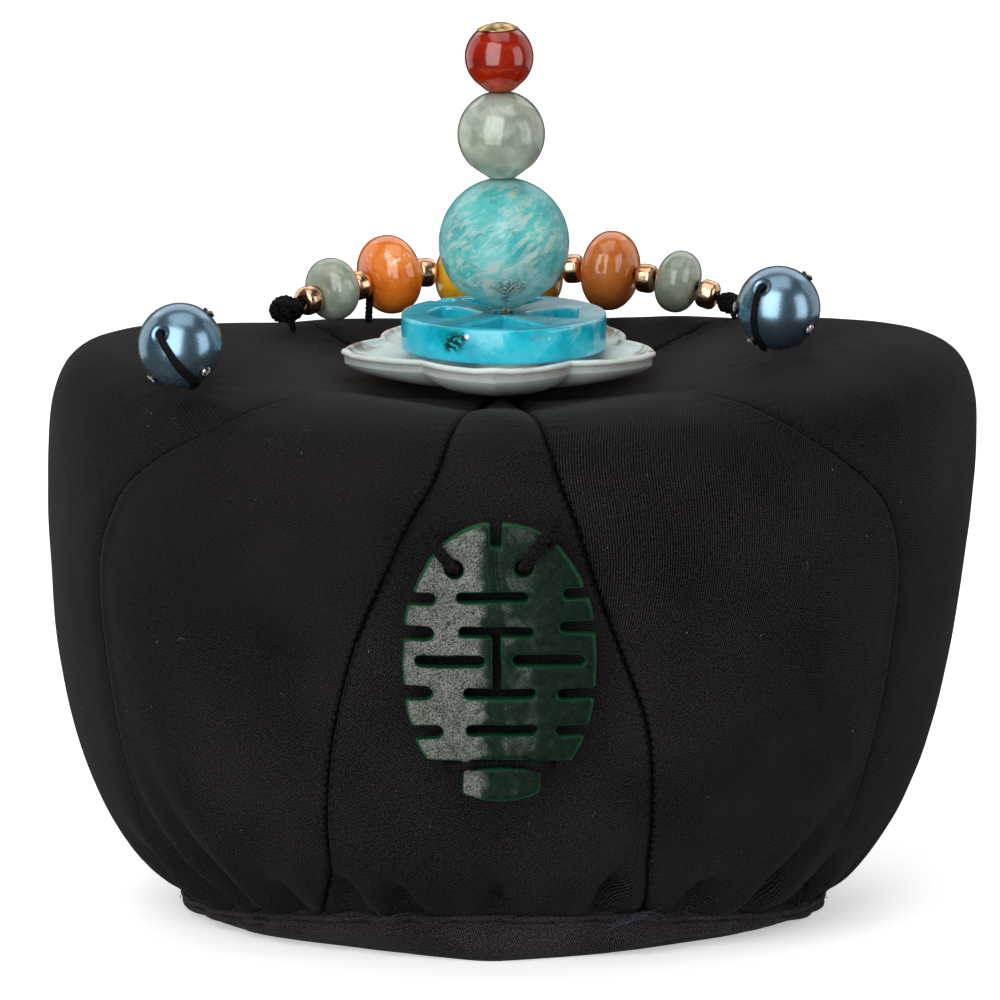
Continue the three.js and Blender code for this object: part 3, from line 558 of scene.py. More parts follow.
class Finish(Wire):
    """A material of one surface shader, whose patterns are measured in millimetres."""

    def __init__(self, name, **constants):
        self.material = bpy.data.materials.new(name)
        self.material.use_nodes = True
        super().__init__(self.material.node_tree)
        self.shader = self.tree.nodes["Principled BSDF"]
        for key, value in constants.items():
            self.shader.inputs[key.replace("_", " ").title().replace("Ior", "IOR")].default_value = value
        place = self.node("ShaderNodeTexCoord", output="Object")
        self.place = self.scaled(place, 1 / MM)

    def scaled(self, vector, scale, offset=(0, 0, 0)):
        size = (scale,) * 3 if isinstance(scale, (int, float)) else scale
        return self.node("ShaderNodeMapping", None, {"Vector": vector, "Scale": size, "Location": offset})

    def noise(self, size, detail=3.0, vector=None, rough=0.5):
        """Cloudy noise from 0 to 1 with features of about a size."""
        values = {"Vector": vector or self.place, "Scale": 1 / size, "Detail": detail, "Roughness": rough}
        return self.node("ShaderNodeTexNoise", None, values)

    def brushed(self, vector, degrees, stretch):
        """A vector turned about the view's axis, then stretched along its own axes."""
        turn = (0, math.radians(degrees), 0)
        turned_vector = self.node("ShaderNodeMapping", None, {"Vector": vector, "Rotation": turn})
        return self.scaled(turned_vector, stretch)

    def cracks(self, size, width, vector=None):
        """Thin lines between cells of a size, 1 on a line."""
        values = {"Vector": vector or self.place, "Scale": 1 / size}
        edge = self.node("ShaderNodeTexVoronoi", {"feature": "DISTANCE_TO_EDGE"}, values)
        return edge.smooth(width / size, 0)

    def near(self, point, radius, soft=0.5, stretch=(1, 1, 1)):
        """1 near a body point, in millimetres, falling to 0 beyond a radius."""
        centre = tuple(-(p + m) * s for p, m, s in zip(point, BODY_MIDDLE, stretch))
        local = self.scaled(self.place, stretch, centre)
        length = self.node("ShaderNodeVectorMath", {"operation": "LENGTH"}, {0: local}, output="Value")
        return length.smooth(radius, radius * (1 - soft))

    def axis(self, name, vector=None):
        return self.node("ShaderNodeSeparateXYZ", None, {0: vector or self.place}, output=name)

    def attribute(self, name):
        return self.node("ShaderNodeAttribute", {"attribute_name": name}, output="Fac")

    def warped(self, size, amount):
        """The place pushed about by noise, for veins and uneven edges."""
        values = {"Vector": self.place, "Scale": 1 / size, "Detail": 2.0}
        push = self.node("ShaderNodeTexNoise", None, values, output=1)
        push = self.node("ShaderNodeVectorMath", {"operation": "SUBTRACT"}, {0: push, 1: (0.5, 0.5, 0.5)})
        push = self.scaled(push, amount * 2)
        return self.node("ShaderNodeVectorMath", {"operation": "ADD"}, {0: self.place, 1: push})

    def bump(self, height, depth, strength=1.0):
        """Relief of a depth in millimetres."""
        values = {"Height": height, "Distance": depth * MM, "Strength": strength}
        normal = self.node("ShaderNodeBump", None, values)
        self.tree.links.new(normal.socket, self.shader.inputs["Normal"])

    def set(self, name, wire):
        self.tree.links.new(wire.socket, self.shader.inputs[name])


# Materials

def satin(name="black_satin", worn=1.0):
    """Black satin weave with its slubs and flecks. The worn argument only scales every tone, so above 1
    the satin is paler.
    """
    made = Finish(name, specular_ior_level=0.02, sheen_weight=0.03, sheen_roughness=0.4)
    uv = made.node("ShaderNodeUVMap", {"uv_map": "cloth"})
    cloth = made.scaled(uv, UV_SPAN)
    u, v = made.axis("X", cloth), made.axis("Y", cloth)
    rise = ((u * 0.88 + v * 0.48) * (2 * PI / 0.38)).sine()
    fall = ((u * 0.3 - v * 0.95) * (2 * PI / 0.52)).sine()
    weave = (rise * 0.6 + rise * fall * 0.4) * 0.5 + 0.5
    slub = made.noise(0.35, 2.0, cloth)
    cloud = made.noise(24, 2.0)
    seam = made.attribute("seam_distance")
    grain = made.noise(0.22, 1.0, cloth)
    fleck = made.noise(0.2, 1.0, cloth).smooth(0.56, 0.72) * made.noise(0.6, 2.0, cloth).smooth(0.4, 0.6)
    shade = weave * 0.42 + slub * 0.45 + grain * 0.5 + cloud * 0.22 + fleck * 0.4
    tones = [(0.6, 0.0007 * worn), (0.8, 0.0048 * worn), (1.0, 0.026 * worn)]
    black = shade.ramp(*((at, (tone, tone * 0.85, tone * 0.93)) for at, tone in tones))
    # Along each seam the colour goes near black. The dashes are the black stitches, and the thin line at
    # the gore's edge is painted shade in the seam's groove.
    stitched = seam.smooth(0.9, 0.35) * (v * (2 * PI / 1.7) + slub * 4).sine().smooth(0.1, 0.6) * 0.85
    groove = stitched.larger(seam.smooth(0.45, 0.12))
    made.set("Base Color", groove.mix(black, (0.0006, 0.0006, 0.0007)))
    made.set("Roughness", weave * -0.14 + grain * 0.2 + 0.5)
    pucker = made.noise(1.0, 1.0, made.scaled(cloth, (0.16, 0.8, 1)))
    pull = pucker * seam.smooth(9.0, 0.5)
    made.bump(weave * 0.45 + slub * 0.4 + grain * 0.5 + pull * 2.2 + made.noise(5, 2.0) * 1.2, 0.09)
    return made.material


def lining():
    made = Finish("matt_lining", roughness=0.85, specular_ior_level=0.2)
    threads = made.noise(0.5, 2.0)
    made.set("Base Color", threads.ramp((0.3, (0.003, 0.003, 0.003)), (0.8, (0.010, 0.0095, 0.010))))
    made.bump(threads, 0.1)
    return made.material


def celadon():
    made = Finish("celadon_jade", coat_weight=0.12, coat_roughness=0.3, specular_ior_level=0.35,
                  subsurface_weight=0.25, subsurface_scale=0.004)
    cloud = made.noise(9, 3.0, made.warped(7, 4))
    base = cloud.ramp((0.3, (0.50, 0.60, 0.57)), (0.55, (0.62, 0.71, 0.69)), (0.8, (0.70, 0.76, 0.75)))
    line = made.attribute("rim") * made.noise(6, 2.0).smooth(0.52, 0.62)
    base = (line * 0.85).mix(base, (0.24, 0.15, 0.10))
    base = (made.cracks(14, 0.1, made.warped(4, 3)) * 0.4).mix(base, (0.46, 0.50, 0.46))
    made.set("Base Color", base)
    made.set("Roughness", cloud * 0.15 + 0.38)
    made.bump(made.noise(2.2, 2.0), 0.05)
    return made.material


def turquoise():
    made = Finish("turquoise", coat_weight=0.3, coat_roughness=0.12)
    high = made.axis("Z").smooth(WHEEL_TOP_Z - 0.35, WHEEL_TOP_Z - 0.05)
    cloud = made.noise(7, 4.0, made.warped(5, 5))
    deep = cloud.ramp((0.28, (0.003, 0.31, 0.40)), (0.5, (0.010, 0.47, 0.62)), (0.72, (0.07, 0.56, 0.68)))
    pale = made.noise(4, 4.0).smooth(0.53, 0.64) * made.axis("X").smooth(-2, 14)
    deep = (pale * 0.45).mix(deep, (0.42, 0.68, 0.72))
    dust = made.noise(3.5, 5.0)
    chalk = dust.ramp((0.3, (0.27, 0.53, 0.60)), (0.6, (0.40, 0.60, 0.66)), (0.8, (0.50, 0.62, 0.62)))
    dusty = high * (made.noise(9, 3.0, made.warped(4, 3)) + made.axis("X") * 0.016).smooth(0.42, 0.72)
    colour = dusty.mix(deep, chalk)
    grain = made.noise(0.7, 3.0)
    matrix = [((-8.2, -15.9, 102.7), 2.8), ((-9.3, -15.3, 101.9), 1.9), ((-6.9, -16.6, 103.4), 1.2)]
    for point, radius in matrix:
        spot = made.near(point, radius, 0.8) * grain.smooth(0.41, 0.49)
        colour = spot.mix(colour, (0.008, 0.035, 0.022))
    chips = [((-6.3, -16.9, 103.7), 0.6), ((8.0, -16.1, 103.2), 0.34), ((8.3, -15.9, 102.4), 0.3)]
    for point, radius in chips:
        colour = made.near(point, radius, 0.7).mix(colour, (0.85, 0.9, 0.88))
    tan = made.near((5.3, -15, 103.6), 3.0, 0.6, (0.8, 1, 1.6)) * 0.6 * grain
    colour = tan.mix(colour, (0.45, 0.36, 0.24))
    veins = made.cracks(11, 0.16, made.warped(3, 3)) * made.noise(5, 2.0).smooth(0.5, 0.6)
    made.set("Base Color", (veins * 0.1).mix(colour, (0.05, 0.09, 0.08)))
    made.set("Roughness", dusty * 0.22 + 0.16)
    made.bump(made.noise(1.2, 4.0) * 0.6 + veins * -0.3, 0.06)
    return made.material


def amazonite():
    made = Finish("amazonite", coat_weight=0.25, coat_roughness=0.3)
    pushed = made.warped(6, 2.5)
    cloud = made.noise(6, 3.0, pushed)
    base = cloud.ramp((0.3, (0.012, 0.24, 0.25)), (0.5, (0.04, 0.38, 0.375)), (0.7, (0.12, 0.50, 0.48)))
    strokes = made.noise(1.2, 7.0, made.brushed(made.warped(4, 1.2), 32, (0.22, 0.7, 1.2)), 0.72)
    veil = made.noise(4, 4.0, made.brushed(made.warped(4, 2), 30, (0.5, 0.8, 1.1)), 0.65)
    flecks = (strokes * 0.85 + veil * 0.35).smooth(0.54, 0.74)
    base = (flecks * 0.75).mix(base, (0.44, 0.56, 0.51))
    beige = (strokes * 0.5 + made.noise(4, 4.0) * 0.6).smooth(0.60, 0.72)
    base = (beige * 0.7).mix(base, (0.42, 0.38, 0.28))
    mist = made.noise(2.0, 5.0, None, 0.6).smooth(0.36, 0.6)
    band = made.near((3, -10, 111.5), 9, 0.7, (0.6, 0.7, 1.5)) * mist
    base = (band * 0.6).mix(base, (0.42, 0.50, 0.48))
    lines = made.cracks(9, 0.12, made.warped(2.5, 2.2)) * made.noise(4, 2.0).smooth(0.5, 0.6) * 0.7
    patch = made.near((1.4, -9.6, 111), 3.8, 0.8, (0.75, 1, 1.3))
    stem = made.near((0.4, -8, 107.6), 4.2, 0.6, (3.4, 1, 0.8))
    stained = patch.larger(stem)
    branch = made.cracks(2.6, 0.26, made.warped(1.6, 1.4)) * patch * 0.6
    speckle = made.noise(0.5, 5.0, None, 0.7).smooth(0.47, 0.57) * stained
    dark = (lines * 0.8).larger(branch.larger(speckle))
    made.set("Base Color", dark.mix(base, (0.055, 0.04, 0.03)))
    made.set("Roughness", flecks * 0.15 + 0.34)
    made.bump(dark * -1.0 + made.noise(1.5, 3.0) * 0.4, 0.08)
    return made.material


def pale_green_stone():
    made = Finish("pale_green_stone", roughness=0.14, coat_weight=0.5, coat_roughness=0.04,
                  subsurface_weight=0.18, subsurface_scale=0.003)
    cloud = made.noise(4.5, 4.0, made.warped(4, 4))
    base = cloud.ramp((0.28, (0.20, 0.25, 0.18)), (0.5, (0.29, 0.335, 0.265)), (0.75, (0.42, 0.46, 0.40)))
    wisps = made.noise(1.4, 5.0, made.scaled(made.warped(3, 3), (0.5, 0.5, 2))).smooth(0.58, 0.72)
    made.set("Base Color", (wisps * 0.25).mix(base, (0.58, 0.60, 0.54)))
    made.set("Roughness", cloud * 0.12 + 0.1)
    made.bump(made.noise(1.5, 3.0), 0.03)
    return made.material


def carnelian():
    made = Finish("carnelian", roughness=0.14, coat_weight=0.5, coat_roughness=0.04,
                  subsurface_weight=0.12, subsurface_scale=0.002, subsurface_radius=(1.0, 0.25, 0.08))
    cloud = made.noise(4, 3.0, made.warped(4, 3))
    base = cloud.ramp((0.3, (0.17, 0.006, 0.001)), (0.55, (0.27, 0.012, 0.002)),
                      (0.8, (0.38, 0.032, 0.005)))
    bands = made.noise(2.0, 3.0, made.scaled(made.warped(3, 2), (0.4, 0.4, 1.8))).smooth(0.55, 0.7)
    made.set("Base Color", (bands * 0.25).mix(base, (0.46, 0.07, 0.012)))
    made.bump(made.noise(1.6, 3.0), 0.02)
    return made.material


def orange_stone():
    """Deep orange with a few white clouds on the left of the strand, and plain tan on the right."""
    made = Finish("orange_stone", roughness=0.14, coat_weight=0.6, coat_roughness=0.05,
                  subsurface_weight=0.12, subsurface_scale=0.002)
    cloud = made.noise(5, 3.0, made.warped(4, 4))
    deep = cloud.ramp((0.3, (0.62, 0.12, 0.008)), (0.55, (0.78, 0.20, 0.02)), (0.8, (0.84, 0.32, 0.08)))
    white = (made.noise(2.2, 5.0, made.warped(3, 2), 0.6) * 0.7 + cloud * 0.4).smooth(0.62, 0.70)
    deep = (white * 0.8).mix(deep, (0.82, 0.56, 0.40))
    tan = cloud.ramp((0.3, (0.58, 0.14, 0.02)), (0.7, (0.74, 0.23, 0.045)))
    made.set("Base Color", made.axis("X").smooth(-4, 4).mix(deep, tan))
    made.bump(made.noise(1.3, 3.0), 0.02)
    return made.material


def amber_stone():
    made = Finish("amber_stone", roughness=0.12, coat_weight=0.6, coat_roughness=0.05,
                  subsurface_weight=0.2, subsurface_scale=0.002)
    cloud = made.noise(5, 3.0, made.warped(4, 4))
    honey = cloud.ramp((0.25, (0.48, 0.20, 0.008)), (0.5, (0.66, 0.33, 0.01)), (0.8, (0.80, 0.46, 0.03)))
    made.set("Base Color", honey)
    made.bump(made.noise(1.3, 3.0), 0.02)
    return made.material


def metal(name, colour, dull, roughness):
    made = Finish(name, metallic=1.0)
    wear = made.noise(1.5, 4.0)
    made.set("Base Color", wear.smooth(0.35, 0.62).mix(dull, colour))
    made.set("Roughness", wear * 0.22 + roughness)
    made.bump(made.noise(0.5, 3.0), 0.02)
    return made.material


def gilt_brass():
    return metal("gilt_brass", (0.78, 0.56, 0.22), (0.20, 0.13, 0.05), 0.18)


def copper_gilt():
    return metal("copper_gilt", (0.96, 0.58, 0.36), (0.66, 0.38, 0.22), 0.1)


def dark_green_jade():
    made = Finish("dark_green_jade", specular_ior_level=0.15)
    pushed = made.warped(3, 2.2)
    mottle = made.noise(1.1, 5.0, None, 0.65)
    green = mottle.ramp((0.35, (0.001, 0.006, 0.003)), (0.55, (0.002, 0.015, 0.007)),
                        (0.75, (0.010, 0.030, 0.018)))
    edge = made.attribute("edge")
    green = edge.smooth(0.3, 1.0).mix(green, (0.002, 0.085, 0.026))
    # skin and the grey it mixes in are painted sheen: the face's reflection of the key light, painted grey
    # on the left half and on a patch and a streak right of the middle, and kept off the edges.
    x = made.axis("X", pushed) - BODY_MIDDLE[0]
    inner = edge.smooth(0.75, 0.35)
    left = x.smooth(-2.6, -4.6)
    patch = x.smooth(0.0, 1.0) * x.smooth(7.0, 3.0) * made.noise(6, 2.0).smooth(0.46, 0.58)
    streak = made.near((4.2, -70, 56), 3.2, 0.6, (2.6, 0.1, 1)) * made.noise(3, 2.0).smooth(0.42, 0.56)
    skin = left.larger((patch * 0.3).larger(streak * 0.5)) * inner
    painted_sheen_grey = made.noise(2.2, 4.0).ramp((0.3, (0.092, 0.098, 0.086)), (0.7, (0.17, 0.178, 0.155)))
    base = skin.mix(green, painted_sheen_grey)
    pits = made.noise(0.22, 3.0, made.brushed(made.place, 20, (0.8, 1, 1.1)), 0.6).smooth(0.5, 0.6)
    made.set("Base Color", (pits * 0.9).mix(base, (0.006, 0.016, 0.010)))
    made.set("Roughness", skin * 0.15 + mottle * 0.2 + 0.25)
    made.bump(pits * -1.0 + mottle * 0.8, 0.09)
    return made.material


def blue_pearl():
    made = Finish("blue_pearl", metallic=0.9, coat_weight=0.5, coat_roughness=0.12)
    cloud = made.noise(5, 3.0)
    made.set("Base Color", cloud.ramp((0.3, (0.15, 0.27, 0.37)), (0.7, (0.20, 0.32, 0.42))))
    made.set("Roughness", made.noise(0.6, 2.0) * 0.06 + 0.24)
    made.bump(made.noise(0.8, 3.0), 0.008)
    return made.material


def clear_crystal():
    made = Finish("clear_crystal", metallic=0.7, roughness=0.03, coat_weight=1.0)
    facet = made.noise(0.5, 1.0)
    sparkle = facet.ramp((0.42, (0.10, 0.10, 0.11)), (0.5, (0.85, 0.84, 0.82)), (0.62, (1.0, 1.0, 1.0)))
    made.set("Base Color", sparkle)
    return made.material


def dark_metal():
    return metal("stone_cup_metal", (0.09, 0.085, 0.08), (0.02, 0.02, 0.02), 0.25)


def cord(name="black_cord", low=(0.001, 0.001, 0.001), high=(0.008, 0.0075, 0.0085)):
    made = Finish(name, roughness=0.7, specular_ior_level=0.1)
    fibre = made.noise(0.16, 3.0)
    made.set("Base Color", (fibre * 0.7 + made.noise(0.8, 2.0) * 0.3).ramp((0.35, low), (0.7, high)))
    made.bump(fibre, 0.08)
    return made.material


def loose_thread():
    return cord("loose_thread", (0.012, 0.011, 0.02), (0.07, 0.065, 0.10))


def lint_fibre():
    return cord("lint_fibre", (0.06, 0.06, 0.06), (0.22, 0.21, 0.21))


# The gores

def sewn_grid(k, rows, columns, even):
    """A gore's grid: its rings, its angles, how far across each point is, and half its width there."""
    place = np.linspace(0, LAST_RING, rows + 1)[:, None] + np.zeros(columns + 1)
    t = np.linspace(-1, 1, columns + 1)[None, :] + np.zeros((rows + 1, 1))
    across = t if even else 0.5 * (t + np.sin(t * PI / 2))
    seams = seam_angles(place)
    start, end = seams[k], seams[k + 1]
    radius = np.linalg.norm(cover_point(place, (start + end) / 2)[..., :2], axis=-1)
    half = (end - start) / 2 - np.degrees(SEAM_GAP / 2 / radius)
    return place, (start + end) / 2 + across * half, across, np.radians(half) * radius


def closed_gore(outer, inner):
    """A gore's points and faces from its outer and inner grids, with the inner faces listed last."""
    rows, columns = outer.shape[:2]
    size = rows * columns
    outside = grid_faces(rows, columns)
    inside = [face[::-1] for face in grid_faces(rows, columns, size)]
    rim = [i * columns for i in range(rows)]
    rim += [(rows - 1) * columns + j for j in range(1, columns)]
    rim += [i * columns + columns - 1 for i in range(rows - 2, -1, -1)]
    rim += list(range(columns - 2, 0, -1))
    wall = [[a, a + size, b + size, b] for a, b in zip(rim, rim[1:] + rim[:1])]
    points = np.concatenate([outer.reshape(-1, 3), inner.reshape(-1, 3)])
    return points, outside + wall + inside, len(inside)


def stuffed_swell(k):
    """How far the stuffing moves a gore's cover, held at its seams, its top and its hem."""
    place, angle, across, _ = sewn_grid(k, SIM_ROWS, SIM_COLUMNS, even=True)
    normal = cover_normal(place, angle)
    inward = SEAM_DRAW * np.abs(across) ** 3 + 0.7 * fold_depth(place, angle)
    inward = inward + STUFFING_START * (1 - across ** 4)
    start = cover_point(place, angle) - normal * inward[..., None]
    points, faces, _ = closed_gore(start, hollow_point(place / LAST_RING, angle))
    form = new_object("stuffed_form", make_mesh("stuffed_form", points, faces, tidy=False))
    free = np.zeros(start.shape[:2], bool)
    free[3:-1, 1:-1] = True
    count = free.size
    held = form.vertex_groups.new(name="held")
    held.add([n for n in range(2 * count) if n >= count or not free.ravel()[n]], 1.0, "REPLACE")
    full = form.vertex_groups.new(name="full")
    fullness = smooth_step(place, 9.5, 12.5).ravel()
    for n in np.nonzero(fullness > 0)[0]:
        full.add([int(n)], float(fullness[n]), "REPLACE")
    cloth = form.modifiers.new("stuffing", "CLOTH")
    settings = cloth.settings
    settings.quality = 4
    settings.mass = 0.2
    settings.tension_stiffness = 12
    settings.compression_stiffness = 6
    settings.shear_stiffness = 4
    settings.bending_stiffness = 0.3
    settings.use_pressure = True
    settings.uniform_pressure_force = STUFFING_PRESSURE
    settings.vertex_group_mass = "held"
    settings.vertex_group_shrink = "full"
    settings.shrink_min = 0.0
    settings.shrink_max = HEM_FULLNESS
    settings.effector_weights.gravity = 0
    for number in range(1, SIM_FRAMES + 1):
        bpy.context.scene.frame_set(number)
    swelled = form.evaluated_get(bpy.context.evaluated_depsgraph_get()).data
    ends = np.empty(len(swelled.vertices) * 3, np.float32)
    swelled.vertices.foreach_get("co", ends)
    ends = ends.reshape(-1, 3)[:count].reshape(start.shape) / MM - BODY_MIDDLE
    bpy.data.objects.remove(form)
    moved = ends - start
    size = np.linalg.norm(moved, axis=-1, keepdims=True)
    moved = moved * np.minimum(1, SWELL_CAP / np.maximum(size, 1e-9))
    return moved - normal * (STUFFING_START * (1 - across ** 4))[..., None]


def seam_dress(k, place, across, half_width):
    """Inward depth of the sewing on a gore: the draw, the groove, the puckers and the raised lips."""
    distance = (1 - np.abs(across)) * half_width
    depth = SEAM_DRAW * np.abs(across) ** 3
    depth = depth + 0.6 * bell(distance, 0.45)
    run = place * RING_STEP
    side = np.sign(across) * (k + 1)
    wave = np.sin(run * (2 * PI / 4.3) + 2.5 * ripple(11, run / 9, side))
    wave = wave * (0.6 + 0.5 * ripple(12, run / 14, side))
    depth = depth - 0.11 * wave * np.exp(-distance / 3.5) * (1 - np.exp(-distance / 0.8))
    raised_edge = {"front_right": 1, "front_left": -1}
    if GORES[k] in raised_edge:
        depth = depth - 0.45 * bell(distance, 2.2) * (np.sign(across) == raised_edge[GORES[k]])
    tucked_edge = {"side_right": -1, "side_left": 1}
    if GORES[k] in tucked_edge:
        depth = depth + 0.3 * bell(distance, 2.6) * (np.sign(across) == tucked_edge[GORES[k]])
    return depth


def button_dents(point):
    """Dents and puckers where the pearl buttons are sewn down."""
    total = np.zeros(point.shape[:2])
    for pearl in PEARLS.values():
        seat = cloth_point(pearl["ring"], pearl["angle"])
        offset = point - seat
        reach = np.linalg.norm(offset, axis=-1)
        turn = np.arctan2(offset[..., 1], offset[..., 0])
        total = total + 0.9 * bell(reach, 4.5)
        total = total + 0.16 * np.sin(turn * 9 + 1) * bell(reach - 8, 3.5)
    return total


def cover_depth(k, place, angle, across, half_width):
    point = cover_point(place, angle)
    sewn = 1 - 0.6 * smooth_step(place, 12.6, 13)
    pocket = 0.7 * bell(place - 12.45, 0.3)
    depth = seam_dress(k, place, across, half_width) + fold_depth(place, angle) * (sewn + pocket)
    depth = depth - PLUMP * (1 - across ** 4) * smooth_step(place, 4, 6) * smooth_step(place, 13, 11.5)
    depth = depth + button_dents(point)
    depth = depth + 0.22 * ripple(21, *(point[..., n] / 24 for n in range(3)))
    depth = depth + 0.05 * ripple(22, *(point[..., n] / 7 for n in range(3)))
    near_hem = smooth_step(place, 11.2, 12.8)
    depth = depth + near_hem * 0.28 * ripple(23, angle / 2.2, place / 2)
    return depth


def gore(k, cloth, inside):
    place, angle, across, half_width = sewn_grid(k, GORE_ROWS, GORE_COLUMNS, even=False)
    normal = cover_normal(place, angle)
    depth = cover_depth(k, place, angle, across, half_width)
    outer = cover_point(place, angle) - normal * depth[..., None]
    swell = stuffed_swell(k)
    rows = along(swell, place[:, 0] / LAST_RING * SIM_ROWS)
    swell = along(rows.swapaxes(0, 1), (across[0] + 1) / 2 * SIM_COLUMNS).swapaxes(0, 1)
    outer = outer + swell
    inner = hollow_point(place / LAST_RING, angle)
    inner = inner + unit(inner * (1, 1, 0)) * (0.25 * ripple(31, angle / 9, place))[..., None]
    inner[..., 2] = np.minimum(inner[..., 2], outer[..., 2] - 1)
    inner[-1, :, 2] = outer[-1, :, 2]
    for grid in (outer, inner):
        grid[..., 2] -= 0.6 * smooth_step(place, 12.85, 13)
    points, faces, inside_count = closed_gore(outer, inner)
    made = make_mesh(f"satin_gore_{GORES[k]}", points, faces, tidy=False)
    flow = run_along(outer[:, GORE_COLUMNS // 2])
    u = across * half_width / UV_SPAN + 0.5
    v = flow[:, None] / UV_SPAN + 0 * u
    uv = np.stack([u, v], axis=-1).reshape(-1, 2)
    write_uv(made, np.concatenate([uv, uv]))
    distance = np.minimum((1 - np.abs(across)) * half_width, 50)
    write_attribute(made, "seam_distance", np.concatenate([distance.ravel()] * 2))
    body = piece(made.name, made, [cloth, inside], f"gore_{GORES[k]}", crease=70)
    which = np.zeros(len(made.polygons), np.int32)
    which[-inside_count:] = 1
    made.polygons.foreach_set("material_index", which)
    return body


def write_uv(made, uv):
    layer = made.uv_layers.new(name="cloth")
    loops = np.empty(len(made.loops), np.int32)
    made.loops.foreach_get("vertex_index", loops)
    layer.uv.foreach_set("vector", uv[loops].astype(np.float32).ravel())


def write_hem_cloth(made):
    """The cloth's own coordinates round the hem, far from any seam."""
    shape = mesh_points(made) / MM - BODY_MIDDLE
    run = np.arctan2(shape[:, 0], -shape[:, 1]) / (2 * PI) + 0.5
    write_uv(made, np.stack([run * HEM_GIRTH / UV_SPAN, shape[:, 2] / UV_SPAN], axis=-1))
    write_attribute(made, "seam_distance", np.full(len(shape), 20.0))


def write_attribute(made, name, values):
    layer = made.attributes.new(name, "FLOAT", "POINT")
    layer.data.foreach_set("value", np.asarray(values, np.float32))


# The hem

def hem_wave(angle):
    lift = 0 * angle
    forward = 0 * angle
    for centre, width, rise, out in HEM_WAVES:
        across = angle - centre
        across = across - 360 * np.round(across / 360)
        near = bell(across, width)
        lift = lift + rise * near
        forward = forward + out * near
    return lift, forward


def ring_direction(angle):
    a = np.radians(angle)
    return np.stack([np.sin(a), -np.cos(a), 0 * a], axis=-1)


def hem_band(cloth):
    """The soft band under the gathers, from its welt down to the surface and up inside the hollow."""
    angle = np.linspace(0, 360, HEM_ANGLES, endpoint=False)
    edge = cover_point(np.full(HEM_ANGLES, float(LAST_RING)), angle) * HEM_TUCK
    press = fold_depth(np.full(HEM_ANGLES, float(LAST_RING)), angle)
    top = gather_z(angle) - CORD_GAP
    a = np.radians(angle)
    base = np.stack([HEM_BASE_SIDE * np.sin(a), -HEM_BASE_FRONT * np.cos(a), 0 * a], axis=-1)
    lift, forward = hem_wave(angle)
    out = ring_direction(angle)
    rows = []
    for share in np.linspace(0, 1, 15):
        row = edge * (1 - share) + base * share
        swell = 1.5 * np.sin(share * PI) + forward * share - 0.55 * press * (1 - share)
        swell = swell + 0.5 * ripple(41, angle / 9, 2 * share + 0 * angle) * np.sin(share * PI) ** 0.5
        swell = swell + 0.2 * ripple(42, angle / 4, 7 * share + 0 * angle)
        row = row + out * (swell - 1.1 * share ** 8)[:, None]
        row[:, 2] = top * (1 - share) + lift * smooth_step(share, 0.3, 1.0)
        rows.append(row)
    under = base - out * 2.2
    under[:, 2] = lift * 0.3
    rows.append(under)
    inner = HEM_INNER * out
    for share in (0.0, 0.5, 1.0):
        row = inner.copy()
        row[:, 2] = top * share
        rows.append(row)
    rows.append(rows[0] * np.array([0.96, 0.96, 1]))
    rows.append(rows[0].copy())
    grid = np.array(rows)
    made = make_mesh("satin_hem_band", grid.reshape(-1, 3), grid_faces(len(rows), HEM_ANGLES, wrap=True))
    write_hem_cloth(made)
    body = piece("satin_hem_band", made, cloth, "hem_band", crease=60)


def welt_line(out=0.0, drop=0.0, count=HEM_ANGLES):
    """The line of the gathers round the hem, as points."""
    angle = np.linspace(0, 360, count, endpoint=False)
    place = np.full(count, float(LAST_RING))
    line = cover_point(place, angle) - ring_direction(angle) * (0.3 * fold_depth(place, angle))[:, None]
    line = line + ring_direction(angle) * (out + 0.15 * ripple(51, angle / 6))[:, None]
    line[:, 2] += 0.2 * ripple(52, angle / 9) - drop
    return line


def closed_tube(line, radius, sides, flatness=1.0):
    """A tube round a closed line."""
    forward = unit(np.roll(line, -1, 0) - np.roll(line, 1, 0))
    across = unit(np.cross(forward, (0, 0, 1)))
    up = np.cross(across, forward)
    ring = tube_rings(across, up, sides, flatness)
    rows = line[:, None] + ring * np.broadcast_to(radius, (len(line),))[:, None, None]
    points = np.concatenate([rows, rows[:1]])
    return points.reshape(-1, 3), grid_faces(len(points), sides, wrap=True)


def gather_welt(cloth):
    """The rolled edge that is whipped over the gathers, in two uneven rolls."""
    angle = np.linspace(0, 360, HEM_ANGLES, endpoint=False)
    upper = closed_tube(welt_line(-0.45, 0.25), 0.5 + 0.1 * ripple(53, angle / 5), 10, 1.1)
    lower = closed_tube(welt_line(-0.55, 1.45), 0.34 + 0.08 * ripple(54, angle / 4), 10, 1.3)
    tape = closed_tube(welt_line(-1.5, 0.3), 0.9, 12, 1.6)
    points, faces = join([upper, lower, tape])
    made = make_mesh("gather_welt", points, faces)
    write_hem_cloth(made)
    piece("gather_welt", made, cloth)


# The finial

def finial_point(x, y, z):
    """A point given from the finial's foot, with the finial's lean."""
    lean = math.radians(FINIAL_LEAN)
    foot = RING_ROWS["hole"][3]
    return np.stack([FINIAL_X + x * math.cos(lean) + z * math.sin(lean), y + 0 * x + 0 * z,
                     foot - x * math.sin(lean) + z * math.cos(lean)], axis=-1)


def node_middle(node):
    low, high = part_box(node)
    return np.array((low + high) / 2) / MM - BODY_MIDDLE


